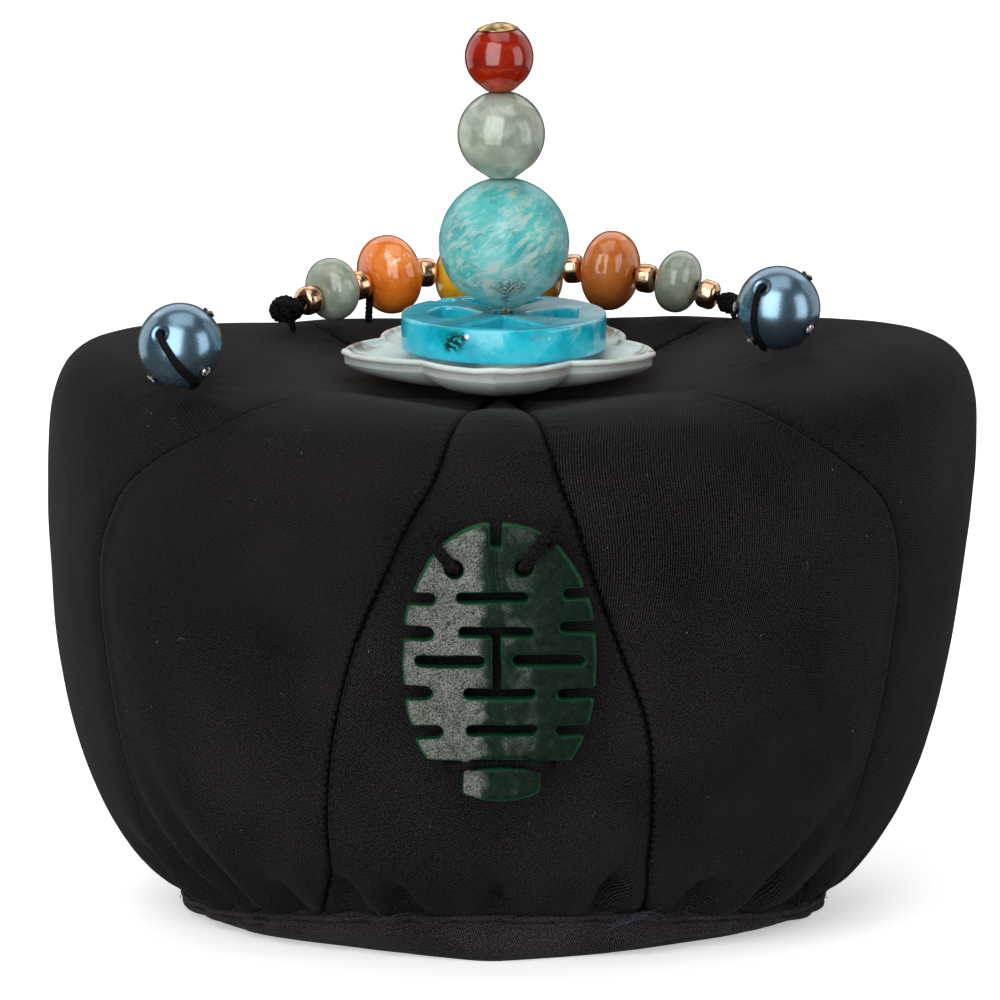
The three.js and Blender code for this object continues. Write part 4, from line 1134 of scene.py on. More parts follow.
def bead_shape(across, along_hole, bore, seed=0, segments=72, uneven=0.0, square=1.0):
    """A polished bead about its hole, with softly rounded ends and a slightly uneven body."""
    start = math.asin((bore * 1.35 / across) ** (1 / square))
    t = np.linspace(PI - start, start, 48)
    heights = along_hole * np.sign(np.cos(t)) * np.abs(np.cos(t)) ** square
    body = np.stack([across * np.sin(t) ** square, heights], axis=1)
    half = along_hole * math.cos(start) ** square
    lip = [(bore * 1.1, half - 0.06), (bore, half - 0.35), (bore, 0)]
    lip += [(r, -z) for r, z in lip[1::-1]]
    points, faces = turned(np.concatenate([body, lip, body[:1]]), segments)
    if uneven:
        scale = 1 + uneven * ripple(seed, *(points[:, n] / across for n in range(3)))
        points = points * scale[:, None]
    return points, faces


def ground_stone(radius, top, seed):
    """A round stone ground down to a flat top, and below to straight shoulders round a flat foot."""
    foot = math.sqrt(radius ** 2 - STONE_FLAT ** 2) + 0.12
    corner = radius * math.sqrt(0.5)
    slant = np.linspace(0, 0.94, 8)
    low = [(STONE_FOOT + (corner - STONE_FOOT) * s, -foot + (foot - corner) * s) for s in slant]
    start = math.acos(top / radius)
    body = [(radius * math.sin(t), radius * math.cos(t)) for t in np.linspace(PI * 0.74, start, 44)]
    bore = [(STONE_BORE * 1.15, top - 0.03), (STONE_BORE, top - 0.3), (STONE_BORE, 0.3 - foot),
            (STONE_BORE * 1.15, 0.03 - foot)]
    points, faces = turned([*low, *body, *bore, low[0]], 96)
    return points * (1 + 0.004 * ripple(seed, *(points[:, n] / radius for n in range(3))))[:, None], faces


def finial_stones(finishes):
    seeds = {"amazonite": 61, "aventurine": 62, "carnelian": 63}
    for name, across in FINIAL_DIAMETERS.items():
        node = f"finial_{name}"
        points, faces = ground_stone(across / 2, STONE_TOPS[name], seeds[name])
        made = make_mesh(f"{name}_bead", placed(points, node_middle(node), FINIAL_AXIS), faces)
        piece(f"{name}_bead", made, finishes[name][0], node, crease=50)


def finial_cap(brass, dark):
    """The low domed cap that closes the top of the finial, with its dark flange on the bead's shoulder."""
    centre = node_middle("finial_carnelian")
    under = [(0, 5.5), (2.6, 5.5), (3.3, 5.06), (3.5, 5.0), (3.6, 5.03)]
    dome = [(3.6, 5.12), (3.45, 5.2), (3.3, 5.22), (3.1, 5.36), (2.6, 5.64), (1.9, 5.88), (1.1, 6.04),
            (0.4, 6.1), (0, 6.11)]
    points, faces = turned([*under, *dome], 64)
    dents = 1 + 0.012 * ripple(66, *(points[:, n] / 1.5 for n in range(3)))
    tilt = unit(np.array(FINIAL_AXIS) + (-0.03, -0.02, 0))
    made = make_mesh("brass_finial_cap", placed(points * dents[:, None], centre, tilt), faces)
    piece("brass_finial_cap", made, brass, "finial_cap", crease=35)
    rim = [(3.3, 4.93), (3.58, 4.9), (3.66, 4.97), (3.6, 5.05), (3.3, 5.05), (3.3, 4.93)]
    points, faces = turned(rim, 64)
    made = make_mesh("cap_bezel", placed(points, centre, tilt), faces)
    piece("cap_bezel", made, dark)


def finial_wires(copper, black):
    """The two wires that carry the beads, down to the washer inside the hollow."""
    _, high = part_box("finial_post")
    foot = RING_ROWS["hole"][3]
    top = high.z / MM - foot - 0.2
    bottom = HOLLOW_TOP - 0.7 - foot
    parts = []
    for side in (-1, 1):
        heights = np.linspace(bottom, top, 60)
        sway = side * (0.36 + 0.05 * np.sin(heights / 6))
        parts.append(tube(finial_point(sway, 0.05 * side * np.cos(heights / 4), heights), 0.31, 12))
    washer = [(0, bottom - 1), (6.6, bottom - 1), (7, bottom - 0.7), (7, bottom - 0.3), (6.6, bottom),
              (0, bottom)]
    sleeve = [(0, bottom), (1.4, bottom), (1.4, 1.2), (1.2, 1.5), (0, 1.5)]
    points, faces = join(parts)
    made = make_mesh("finial_wires", points, faces)
    piece("finial_wires", made, copper, "finial_post", crease=35)
    stem = []
    for profile in (washer, sleeve):
        points, faces = turned(profile, 48)
        stem.append((finial_point(points[:, 0], points[:, 1], points[:, 2]), faces))
    turns = np.linspace(0, 26 * 2 * PI, 700)
    heights = bottom + 0.4 + turns / turns[-1] * (1.1 - bottom)
    wound = finial_point(1.5 * np.cos(turns), 1.5 * np.sin(turns), heights)
    stem.append(tube(wound, 0.24, 6))
    points, faces = join(stem)
    piece("wound_stem", make_mesh("wound_stem", points, faces), black, crease=35)


def flower_edge(angle):
    petal = np.abs((angle * FLOWER_PETALS / 360) % 1 - 0.5) * 2
    bulge = 0.75 * np.sin(petal * PI / 2) + 0.25 * petal ** 4
    return FLOWER_NOTCH + (FLOWER_TIP - FLOWER_NOTCH) * bulge, petal


def flower_plate(jade):
    """Five cupped petals round a raised middle, with a rounded lip and a rib down each notch."""
    angle = np.linspace(0, 360, 300, endpoint=False)
    edge, petal = flower_edge(angle)
    notch = bell(petal, 0.16)
    direction = ring_direction(angle)
    rows, rims = [], []

    def add(share, z, rim=0.0, out=0.0):
        radius = FLOWER_HOLE + (edge - FLOWER_HOLE) * share + out
        row = direction * radius[:, None]
        row[:, 2] = z
        rows.append(row)
        rims.append(np.full(len(angle), rim))

    tip = smooth_step(petal, 0.8, 1.0)
    lip = FLOWER_RIM_Z + 0.35 * tip
    add(0, FLOWER_BOSS_Z - 0.3)
    add(0.03, FLOWER_BOSS_Z)
    add(0.2, FLOWER_BOSS_Z)
    for share in np.linspace(0.24, 0.93, 26):
        dish = FLOWER_FLOOR_Z + (lip - 0.35 - FLOWER_FLOOR_Z) * share ** 3
        rib = 0.75 * notch * share ** 2 * (1 - smooth_step(share + 0 * petal, 0.8, 1.0))
        boss = (FLOWER_BOSS_Z - FLOWER_FLOOR_Z) * (1 - smooth_step(share + 0 * petal, 0.2, 0.34))
        add(share, dish + rib + boss, float(smooth_step(share, 0.85, 0.92)))
    for turn in np.linspace(PI, -PI / 2, 13):
        z = lip - 0.55 + 0.55 * math.sin(turn)
        add(1, z, 1.0 if turn > PI * 0.3 else 0.0, 0.55 * math.cos(turn) - 0.55)
    for share in 0.975 - 0.925 * np.linspace(0, 1, 32) ** 1.5:
        low = FLOWER_BELLY_Z - FLOWER_SAG * np.maximum(0, np.cos(np.radians(angle + FLOWER_TURN))) ** 2
        belly = low + (FLOWER_RIM_Z - FLOWER_LIP - low) * (1 - (1 - share ** 3.5) ** 0.6)
        add(share, belly + 0.9 * notch * share ** 2 * (1 - share ** 4))
    add(0, FLOWER_BELLY_Z)
    rows.append(rows[0].copy())
    rims.append(rims[0])
    grid = np.array(rows)
    turn = math.radians(FLOWER_TURN)
    spin = np.array([[math.cos(turn), -math.sin(turn), 0], [math.sin(turn), math.cos(turn), 0], [0, 0, 1]])
    points = grid.reshape(-1, 3) @ spin.T + (FLOWER_X, 0, 0)
    made = make_mesh("jade_flower_plate", points, grid_faces(len(rows), len(angle), wrap=True), tidy=False)
    write_attribute(made, "rim", np.concatenate(rims))
    tidy_mesh(made)
    piece("jade_flower_plate", made, jade, "flower_plate", crease=180)


def slab(outlines, low, high):
    """A flat slab between two heights from an outer outline and its holes."""
    flat = bpy.data.curves.new("outline", "CURVE")
    flat.dimensions = "2D"
    flat.fill_mode = "BOTH"
    flat.extrude = (high - low) / 2
    for outline in outlines:
        line = flat.splines.new("POLY")
        line.points.add(len(outline) - 1)
        for point, (x, y) in zip(line.points, outline):
            point.co = (x, y, 0, 1)
        line.use_cyclic_u = True
    made = taken_from(new_object("outline", flat))
    made.transform(Matrix.Translation((0, 0, (low + high) / 2)))
    tidy_mesh(made)
    return made


def carved(made, voxel, rounds):
    """A copy of a shape with its edges worn round, as one even skin."""
    body = new_object("blank", made)
    remesh = body.modifiers.new("skin", "REMESH")
    remesh.mode = "VOXEL"
    remesh.voxel_size = voxel
    polish = body.modifiers.new("polish", "SMOOTH")
    polish.factor = 0.5
    polish.iterations = rounds
    return taken_from(body)


def mesh_points(made):
    points = np.empty(len(made.vertices) * 3, np.float32)
    made.vertices.foreach_get("co", points)
    return points.reshape(-1, 3).astype(float)


def move_points(made, points):
    made.vertices.foreach_set("co", np.asarray(points, np.float32).ravel())
    made.update()


def arc(centre, radius, start, end, steps):
    t = np.linspace(start, end, steps)
    return [(centre[0] + radius * math.cos(a), centre[1] + radius * math.sin(a)) for a in t]


def drop_outline(side, inner, outer, half, square):
    """A drop with its point at the hub. A squared one has a flat outer end."""
    widest = 0.66
    points = []
    for s in np.linspace(0, 1, 28):
        if square:
            wide = half * math.sin(s ** 0.75 * PI / 2) ** 1.1
        elif s < widest:
            wide = half * math.sin(s / widest * PI / 2)
        else:
            wide = half * math.cos((s - widest) / (1 - widest) * PI / 2)
        points.append((side * (inner + (outer - inner) * s), wide))
    return points + [(x, -y) for x, y in reversed(points[1:-1])]


def turquoise_wheel(stone):
    """The openwork wheel: two fans, a rounded drop and a squared one, between thin crossed spokes."""
    outlines = [arc((0, 0), WHEEL_RADIUS, 0, 2 * PI * 179 / 180, 180)]
    outlines.append(arc((0, 0), 2.1, 0, 2 * PI * 31 / 32, 32))
    for middle in (-PI / 2, PI / 2):
        fan = arc((0, 0), 15.3, middle - math.radians(29), middle + math.radians(29), 40)
        tip = (2.9 * math.cos(middle), 2.9 * math.sin(middle))
        outlines.append([*fan, tip])
    outlines.append(drop_outline(-1, 3.9, 13.6, 6.0, square=False))
    outlines.append(drop_outline(1, 3.9, 13.2, 5.6, square=True))
    outlines = [[(x * MM, y * MM) for x, y in outline] for outline in outlines]
    made = carved(slab(outlines, 0, (WHEEL_TOP_Z - WHEEL_BASE_Z) * MM), 0.33 * MM, 4)
    points = mesh_points(made) / MM
    pit = points - np.array([-10.6, 12.2, WHEEL_TOP_Z - WHEEL_BASE_Z])
    dent = np.exp(-((np.linalg.norm(pit * (0.8, 1, 0.6), axis=1) / 1.3) ** 4))
    points[:, 2] -= 1.5 * dent
    points += 0.05 * ripple(71, *(points[:, n] / 5 for n in range(3)))[:, None] * (0.4, 0.4, 1)
    tilt = math.radians(WHEEL_TILT)
    points = placed(points, (WHEEL_X, 0, WHEEL_BASE_Z), (0, -math.sin(tilt), math.cos(tilt)))
    move_points(made, (points + BODY_MIDDLE) * MM)
    piece("openwork_turquoise_wheel", made, stone, "turquoise_wheel", crease=70)


# The plaque

def plaque_turn():
    """The plaque's middle and its own three directions, from where the front gore carries it."""
    bottom, top = (PLAQUE_Z + PLAQUE_HALF_HEIGHT * share for share in (-0.8, 0.8))
    places = np.arange(5, LAST_RING, 0.01)
    line = cover_point(places, 0 * places)

    def depth_at(z):
        return -line[np.argmax(line[:, 2] <= z), 1]

    lean = math.atan2(depth_at(top) - depth_at(bottom), top - bottom)
    fullest = max(depth_at(bottom + t * (top - bottom)) for t in (0, 0.25, 0.5, 0.75, 1))
    centre = np.array([PLAQUE_X, -(fullest + PLAQUE_STAND_OFF + PLAQUE_THICKNESS / 2), PLAQUE_Z])
    up = np.array([0, -math.sin(lean), math.cos(lean)])
    face = np.array([0, -math.cos(lean), -math.sin(lean)])
    return centre, np.array([[1, 0, 0], up, face])


def jade_plaque(jade):
    """The pierced plaque, carved from its blank with worn edges, a low dome and an engraved line."""
    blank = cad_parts["jade_plaque"].data.copy()
    tidy_mesh(blank)
    blank.materials.clear()
    made = carved(blank, 0.3 * MM, 3)
    centre, axes = plaque_turn()
    points = mesh_points(made) / MM - BODY_MIDDLE
    local = (points - centre) @ axes.T
    x, y, z = local.T
    front = smooth_step(z, -0.4, 1.2)
    line = np.abs(x + 0.6 + 0.35 * np.sin(y / 2.2))
    groove = 0.5 * bell(line, 0.45) * smooth_step(y, 12.2, 13.5) * smooth_step(y, 21, 19.5)
    radius = np.sqrt((x / PLAQUE_HALF_WIDTH) ** 2 + (y / PLAQUE_HALF_HEIGHT) ** 2)
    fall = 0.75 * np.clip(radius, 0, 1.1) ** 4
    dome = 0.9 * (x / PLAQUE_HALF_WIDTH) ** 2
    local[:, 2] -= front * (groove + fall * 0.6 + dome) + 0.06 * front * ripple(81, x / 3, y / 3)
    local[:, :2] += 0.12 * np.stack([ripple(82, x / 4, y / 4), ripple(83, x / 4, y / 4)], axis=1)
    move_points(made, (local @ axes + centre + BODY_MIDDLE) * MM)
    normals = np.empty(len(made.vertices) * 3, np.float32)
    made.vertices.foreach_get("normal", normals)
    facing = normals.reshape(-1, 3) @ axes[2]
    write_attribute(made, "edge", spread_edges(made, 1 - smooth_step(facing, 0.55, 0.97), 5))
    piece("carved_jade_plaque", made, jade, "jade_plaque", crease=75)


def spread_edges(made, values, rounds):
    """Values smoothed over a mesh by its edges, so that they fade away from where they are high."""
    edges = np.empty(len(made.edges) * 2, np.int32)
    made.edges.foreach_get("vertices", edges)
    a, b = edges.reshape(-1, 2).T
    for _ in range(rounds):
        total = np.bincount(a, values[b], len(values)) + np.bincount(b, values[a], len(values))
        count = np.bincount(a, minlength=len(values)) + np.bincount(b, minlength=len(values))
        values = np.maximum(values * 0.985, 0.25 * values + 0.75 * total / np.maximum(count, 1))
    return values


def plaque_ties(black):
    centre, axes = plaque_turn()

    def out(points):
        return np.asarray(points, float) @ axes + centre

    radius, gap = 0.75, CORD_GAP
    face = PLAQUE_THICKNESS / 2 + radius + gap - 0.5
    back = -PLAQUE_THICKNESS / 2 - 0.2
    for side, hole in TIE_HOLES.items():
        over = TIE_ENDS[side]
        reach = math.dist(over, hole) - 2.0
        way = (np.array(over) - hole) / reach
        steps = [(-0.3, back), (0, 0.3), (0.35, 2.0), (1.6, face), (reach * 0.5, face + 0.15),
                 (reach * 0.8, face - 0.1), (reach + 0.8, 0.2), (reach + 0.9, back - 0.3)]
        line = [(*(hole + way * d), z) for d, z in steps]
        parts = [braid(smooth_path(out(line), 0.16), radius * 1.5, 3.4)]
        if side == "right":
            bow = [(over[0] - 1.9, over[1] - 1.6, face), (over[0] - 0.4, over[1] - 0.8, face + 0.3),
                   (over[0] + 0.5, over[1] - 2.2, face - 0.4), (over[0] - 0.6, over[1] - 3.2, face - 1.2)]
            parts.append(braid(smooth_path(out(bow), 0.16), radius * 0.9, 2.6))
        points, faces = join(parts)
        piece(f"braided_tie_{side}", make_mesh(f"braided_tie_{side}", points, faces), black,
              f"plaque_tie_{side}")
    wing, radius, top = 9.2, 0.55, PLAQUE_THICKNESS / 2
    y = LOWEST_SLOT_Y
    high = top + radius
    left = [(-wing, y - 0.7, back - 0.4), (-wing + 1.4, y - 0.5, top + 0.5),
            (-6.6, y - 0.2, high + gap - 0.3)]
    slot = [(-5, y, high - 0.2), (-3.6, y, 0.3), (0, y, -0.4), (3.8, y, 0.3), (5.2, y, high - 0.2)]
    right = [(6.8, y - 0.2, high + gap - 0.3), (wing - 1.2, y - 0.5, top + 0.5),
             (wing + 0.2, y - 0.7, back - 0.4)]
    line = np.array([*left, *slot, *right])
    strands = []
    for k in range(3):
        shift = np.array([0, 0.35 * (k - 1), 0.1 * (k % 2)])
        strands.append(braid(smooth_path(out(line + shift), 0.2), radius * 0.95, 2.6, 6))
    points, faces = join(strands)
    made = make_mesh("braided_tie_bottom", points, faces)
    piece("braided_tie_bottom", made, black, "plaque_tie_bottom")


# The pearl buttons

def seen_direction(seen, side=1):
    """A direction from how far right and up it looks from the front and a little above."""
    right, up = seen
    lift = math.radians(VIEW_LIFT)
    near = side * math.sqrt(max(0, 1 - right ** 2 - up ** 2))
    away = up * math.sin(lift) - near * math.cos(lift)
    return unit(np.array([right, away, up * math.cos(lift) + near * math.sin(lift)]))


def pearl_shape():
    """A ball round its hole, with the lacquer dished in where the cord comes out."""
    hole = 0.14
    t = PI / 2 + (PI / 2 - hole) * np.sin(np.linspace(-1, 1, 72) * PI / 2)
    radius = PEARL_RADIUS - 0.35 * (bell(t - hole, 0.07) + bell(PI - hole - t, 0.07))
    outer = np.stack([radius * np.sin(t), radius * np.cos(t)], axis=1)
    bore = 0.85
    inner = [(bore, outer[-1][1] + 0.3), (bore, 0), (bore, outer[0][1] - 0.3)]
    return turned(np.concatenate([outer, inner, outer[:1]]), 96)


def set_stone(direction, centre, seed):
    """A round cut stone with many facets, and the cup that it is set in."""
    shape = bmesh.new()
    bmesh.ops.create_icosphere(shape, subdivisions=2, radius=1.0)
    shape.verts.ensure_lookup_table()
    points = np.array([v.co for v in shape.verts])
    faces = [[v.index for v in face.verts] for face in shape.faces]
    shape.free()
    turn = seed * 0.7
    spin = np.array([[math.cos(turn), -math.sin(turn), 0], [math.sin(turn), math.cos(turn), 0], [0, 0, 1]])
    points = points @ spin.T * (1.0, 1.0, 0.55)
    points[:, 2] = np.minimum(points[:, 2], 0.48) + 0.12
    cup = [(0.6, -0.3), (1.05, -0.15), (1.16, 0.1), (1.12, 0.26), (1.02, 0.3), (0.95, 0.18), (0.6, -0.1),
           (0.6, -0.3)]
    ring, ring_faces = turned(cup, 24)
    seat = centre + direction * (PEARL_RADIUS + 0.1)
    return (placed(points, seat, direction), faces), (placed(ring, seat, direction), ring_faces)


def pearl_button(side, pearl, lacquer, black, crystal, cup_metal):
    place, angle = np.array(float(pearl["ring"])), np.array(float(pearl["angle"]))
    centre = cloth_point(place, angle) + cover_normal(place, angle) * (PEARL_RADIUS + PEARL_SEAT)
    out = seen_direction(pearl["hole"])
    points, faces = pearl_shape()
    made = make_mesh(f"pearl_button_{side}", placed(points, centre, out), faces)
    piece(f"pearl_button_{side}", made, lacquer, f"pearl_{side}", crease=60)

    inside = [out * PEARL_RADIUS * share for share in (-0.8, 0.4, 0.9)]
    start = unit(out * 0.65 + seen_direction(pearl["cord"][0]) * 0.35)
    over = [start, *(seen_direction(seen) for seen in pearl["cord"])]
    lift = PEARL_RADIUS + PEARL_CORD * 0.55
    under = unit(over[-1] + (0, 0.35, -0.35))
    route = centre + np.array([*inside, *(direction * lift for direction in over), under * (lift + 0.1)])
    path = smooth_path(route, 0.25)
    widest = 0.86 if side == "left" else 0.64
    wide = np.interp(np.linspace(0, 1, len(path)), [0, 0.42, 0.8, 1], [0.45, 0.52, widest, widest])
    points, faces = elastic(path, centre, wide)
    made = make_mesh(f"pearl_elastic_{side}", points, faces)
    piece(f"pearl_elastic_{side}", made, black, f"pearl_cord_{side}", crease=60)

    facings = [seen_direction(seen) for seen in pearl["stones"]]
    facings += [seen_direction(seen, -1) for seen in pearl["hidden"]]
    cups = []
    for k, facing in enumerate(facings):
        gem, cup = set_stone(facing, centre, k)
        cups.append(cup)
        name = f"cut_stone_{side}_{k + 1}"
        node = f"rhinestone_{side}_{k + 1}"
        piece(name, make_mesh(name, *gem), crystal, node, smooth=False)
    made = make_mesh(f"stone_cups_{side}", *join(cups))
    piece(f"stone_cups_{side}", made, cup_metal)


def elastic(path, centre, wide):
    """A flat elastic that lies on a ball: wide along the ball's face and thin away from it."""
    forward = unit(np.gradient(path, axis=0))
    away = unit(path - centre)
    across = unit(np.cross(forward, away))
    away = np.cross(across, forward)
    sides = 14
    a = np.linspace(0, 2 * PI, sides, endpoint=False)
    thin = 0.3
    rows = []
    for k, point in enumerate(path):
        wave = 1 + 0.08 * np.sin(a * 5)
        flat = np.cos(a)[:, None] * across[k] * wide[k] * wave[:, None]
        rows.append(point + flat + np.sin(a)[:, None] * away[k] * thin)
    first, last = np.repeat(path[:1], sides, 0), np.repeat(path[-1:], sides, 0)
    grid = np.array([first, *rows, last])
    return grid.reshape(-1, 3), grid_faces(len(grid), sides, wrap=True)


# The strand

def strand(finishes, black):
    beads = [node.split("_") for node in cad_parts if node.startswith("strand_bead")]
    beads = sorted((int(number), kind) for _, _, number, kind in beads)
    route = []
    line = smooth_path(STRAND_LINE, 0.2)
    knots = [line[round(share * (len(line) - 1))] - (0, 0, drop) for share, drop, _ in KNOTS]
    for number, kind in beads:
        node = f"strand_bead_{number}_{kind}"
        across, long = (size / 2 for size in BEAD_SIZES[kind])
        centre = node_middle(node)
        nearest = np.argmin(np.linalg.norm(line - centre, axis=1))
        axis = unit(line[nearest + 4] - line[nearest - 4])
        if kind == "spacer":
            shape = bead_shape(across, long + 0.1, 1.0, segments=48, square=0.55)
        else:
            shape = bead_shape(across, long + 0.1, 1.0, 90 + number, 64, 0.012, square=0.88)
        material, slot = finishes[kind]
        name = f"{kind}_bead_{number}"
        made = make_mesh(name, placed(shape[0], centre, axis), shape[1])
        piece(name, made, material, node, crease=50)
        route.extend(centre + axis * long * end for end in (-0.84, 0, 0.84))
    path = smooth_path(np.array([knots[0], *route, knots[1]]), 0.3)
    parts = [braid(path, 0.5, 2.2, 6)]
    for k, (knot, (_, _, size)) in enumerate(zip(knots, KNOTS)):
        parts.append(knotted(knot, size, 101 + k))
    parts.append(braid(smooth_path(np.array(SEWN_STITCH), 0.2), 0.75, 2.2, 6))
    points, faces = join(parts)
    piece("strand_cord", make_mesh("strand_cord", points, faces), black, "strand_thread")


def knotted(centre, size, seed):
    """A small hard knot of turns wound over each other, with a short end that dives into the cloth."""
    draw = np.random.default_rng(seed)
    t = np.linspace(0, 2 * PI, 40)
    parts = [turned([(1.4 * math.sin(a), 1.4 * math.cos(a)) for a in np.linspace(0, PI, 9)], 16)]
    for _ in range(7):
        axis = unit(draw.normal(0, 1, 3) + (1.2, 0, 0))
        loop = np.stack([1.5 * np.cos(t), 1.5 * np.sin(t), 0.25 * np.sin(2 * t)], axis=1)
        parts.append(braid(placed(loop + draw.uniform(-0.25, 0.25, 3), (0, 0, 0), axis), 0.62, 2.2, 7))
    tail = [(0, 0, -0.6), (0.5, -0.7, -1.6), (0.9, -0.6, -3.2)]
    parts.append(braid(smooth_path(np.array(tail), 0.2), 0.5, 2.2, 6))
    points, faces = join(parts)
    return points * np.array([1.15, 1, 0.9]) * size + centre, faces


# Repeats made by node trees

def node_group(name, sizes):
    """An empty geometry tree with named inputs, and wires for its geometry and sizes."""
    group = bpy.data.node_groups.new(name, "GeometryNodeTree")
    group.interface.new_socket("Geometry", in_out="INPUT", socket_type="NodeSocketGeometry")
    group.interface.new_socket("Geometry", in_out="OUTPUT", socket_type="NodeSocketGeometry")
    for label, value in sizes.items():
        socket = group.interface.new_socket(label, in_out="INPUT", socket_type="NodeSocketFloat")
        socket.default_value = value
    start = group.nodes.new("NodeGroupInput")
    inputs = {socket.name: Wire(group, socket) for socket in start.outputs if socket.name}
    return group, inputs


def close_group(group, placed_copies, material):
    real = placed_copies.node("GeometryNodeRealizeInstances", None, {0: placed_copies})
    done = real.node("GeometryNodeSetMaterial", None, {"Geometry": real, "Material": material})
    end = group.nodes.new("NodeGroupOutput")
    group.links.new(done.socket, end.inputs[0])


def stitch_tree(material):
    """Stitches along lines: each a small thread bead laid across the seam."""
    group, given = node_group("hand_stitches", {"Pitch": 0.0018, "Length": 0.0005, "Thickness": 0.00007})
    lines = given["Geometry"].node("GeometryNodeMeshToCurve", None, {0: given["Geometry"]})
    even = lines.node("GeometryNodeResampleCurve", {"mode": "LENGTH"}, {0: lines, 3: given["Pitch"]})
    seed = {"data_type": "FLOAT_VECTOR"}
    values = {0: (-0.5, -0.5, -0.5), 1: (0.5, 0.5, 0.5), "Seed": 7}
    lean = lines.node("FunctionNodeRandomValue", seed, values)
    tangent = lines.node("GeometryNodeInputTangent")
    way = lines.node("ShaderNodeVectorMath", {"operation": "ADD"}, {0: tangent, 1: lean})
    turn = lines.node("FunctionNodeAlignRotationToVector", {"axis": "Z"}, {"Vector": way})
    values = {0: given["Thickness"], 1: given["Thickness"], 2: given["Length"]}
    size = lines.node("ShaderNodeCombineXYZ", None, values)
    bead = lines.node("GeometryNodeMeshIcoSphere", None, {"Radius": 1.0, "Subdivisions": 2})
    values = {"Points": even, "Instance": bead, "Rotation": turn, "Scale": size}
    close_group(group, lines.node("GeometryNodeInstanceOnPoints", None, values), material)
    return group


def fibre_tree(name, material, density, seed, length, thickness):
    """Short bent fibres scattered over a surface."""
    sizes = {"Density": density, "Length": length, "Thickness": thickness}
    group, given = node_group(name, sizes)
    surface = given["Geometry"]
    values = {"Mesh": surface, "Density": given["Density"], "Seed": seed}
    spots = surface.node("GeometryNodeDistributePointsOnFaces", {"distribute_method": "RANDOM"}, values)
    half = given["Length"] * 0.5
    middle = surface.node("ShaderNodeCombineXYZ", None, {0: half * 0.3, 1: half * 0.7, 2: half * 0.25})
    start = surface.node("ShaderNodeCombineXYZ", None, {0: half * -1.0})
    end = surface.node("ShaderNodeCombineXYZ", None, {0: half})
    bend = surface.node("GeometryNodeCurveQuadraticBezier", None,
                        {"Resolution": 5, "Start": start, "Middle": middle, "End": end})
    values = {"Resolution": 4, "Radius": given["Thickness"]}
    section = surface.node("GeometryNodeCurvePrimitiveCircle", None, values)
    values = {"Curve": bend, "Profile Curve": section, "Fill Caps": True}
    fibre = surface.node("GeometryNodeCurveToMesh", None, values)
    turns = {"data_type": "FLOAT_VECTOR"}
    values = {0: (-0.4, -0.4, 0.0), 1: (0.4, 0.4, 6.28), "Seed": seed + 1}
    turn = surface.node("FunctionNodeRandomValue", turns, values)
    normal = Wire(group, spots.socket.node.outputs["Rotation"])
    local = {"rotation_space": "LOCAL"}
    turned_fibre = surface.node("FunctionNodeRotateRotation", local, {0: normal, 1: turn})
    uneven = {2: 0.15, 3: 1.0, "Seed": seed + 2}
    size = surface.node("FunctionNodeRandomValue", {"data_type": "FLOAT"}, uneven, output=1)
    values = {"Points": spots, "Instance": fibre, "Rotation": turned_fibre, "Scale": size}
    close_group(group, surface.node("GeometryNodeInstanceOnPoints", None, values), material)
    return group


def grow(name, source, group, sizes=None):
    """Runs a geometry tree on a mesh and keeps its result as a plain piece."""
    host = new_object("host", source)
    modifier = host.modifiers.new(group.name, "NODES")
    modifier.node_group = group
    for item in group.interface.items_tree:
        if item.in_out == "INPUT" and item.name in (sizes or {}):
            modifier[item.identifier] = sizes[item.name]
    made = taken_from(host)
    made.name = name
    materials = list(made.materials)
    made.materials.clear()
    return piece(name, made, materials[-1], crease=80)


def seam_lines():
    """Every seam as points, from under the flower down to the gathers."""
    place = np.linspace(0.8, LAST_RING - 0.02, 240)
    for k in range(len(GORES)):
        angle = seam_angles(place)[k]
        inward = SEAM_DRAW + 0.35 + 0.7 * fold_depth(place, angle)
        yield cover_point(place, angle) - cover_normal(place, angle) * inward[:, None]


def line_mesh(name, lines):
    points = np.concatenate(lines)
    edges, start = [], 0
    for line in lines:
        edges += [(start + n, start + n + 1) for n in range(len(line) - 1)]
        start += len(line)
    made = bpy.data.meshes.new(name)
    made.from_pydata(((points + BODY_MIDDLE) * MM).tolist(), edges, [])
    return made


def stitching(black):
    tree = stitch_tree(black)
    lines = list(seam_lines())
    seams = {"centre": ((0, 1, 4, 5), 0.0019), "side": ((2, 3, 6, 7), 0.0013)}
    for name, (which, pitch) in seams.items():
        source = line_mesh(f"{name}_seams", [lines[k] for k in which])
        grow(f"{name}_seam_stitches", source, tree, {"Pitch": pitch})
    hem = welt_line(0.25, 0.55, 360)
    sizes = {"Pitch": 0.0083, "Length": 0.0006, "Thickness": 0.00009}
    source = line_mesh("hem_line", [np.concatenate([hem, hem[:1]])])
    grow("hem_stitches", source, tree, sizes)


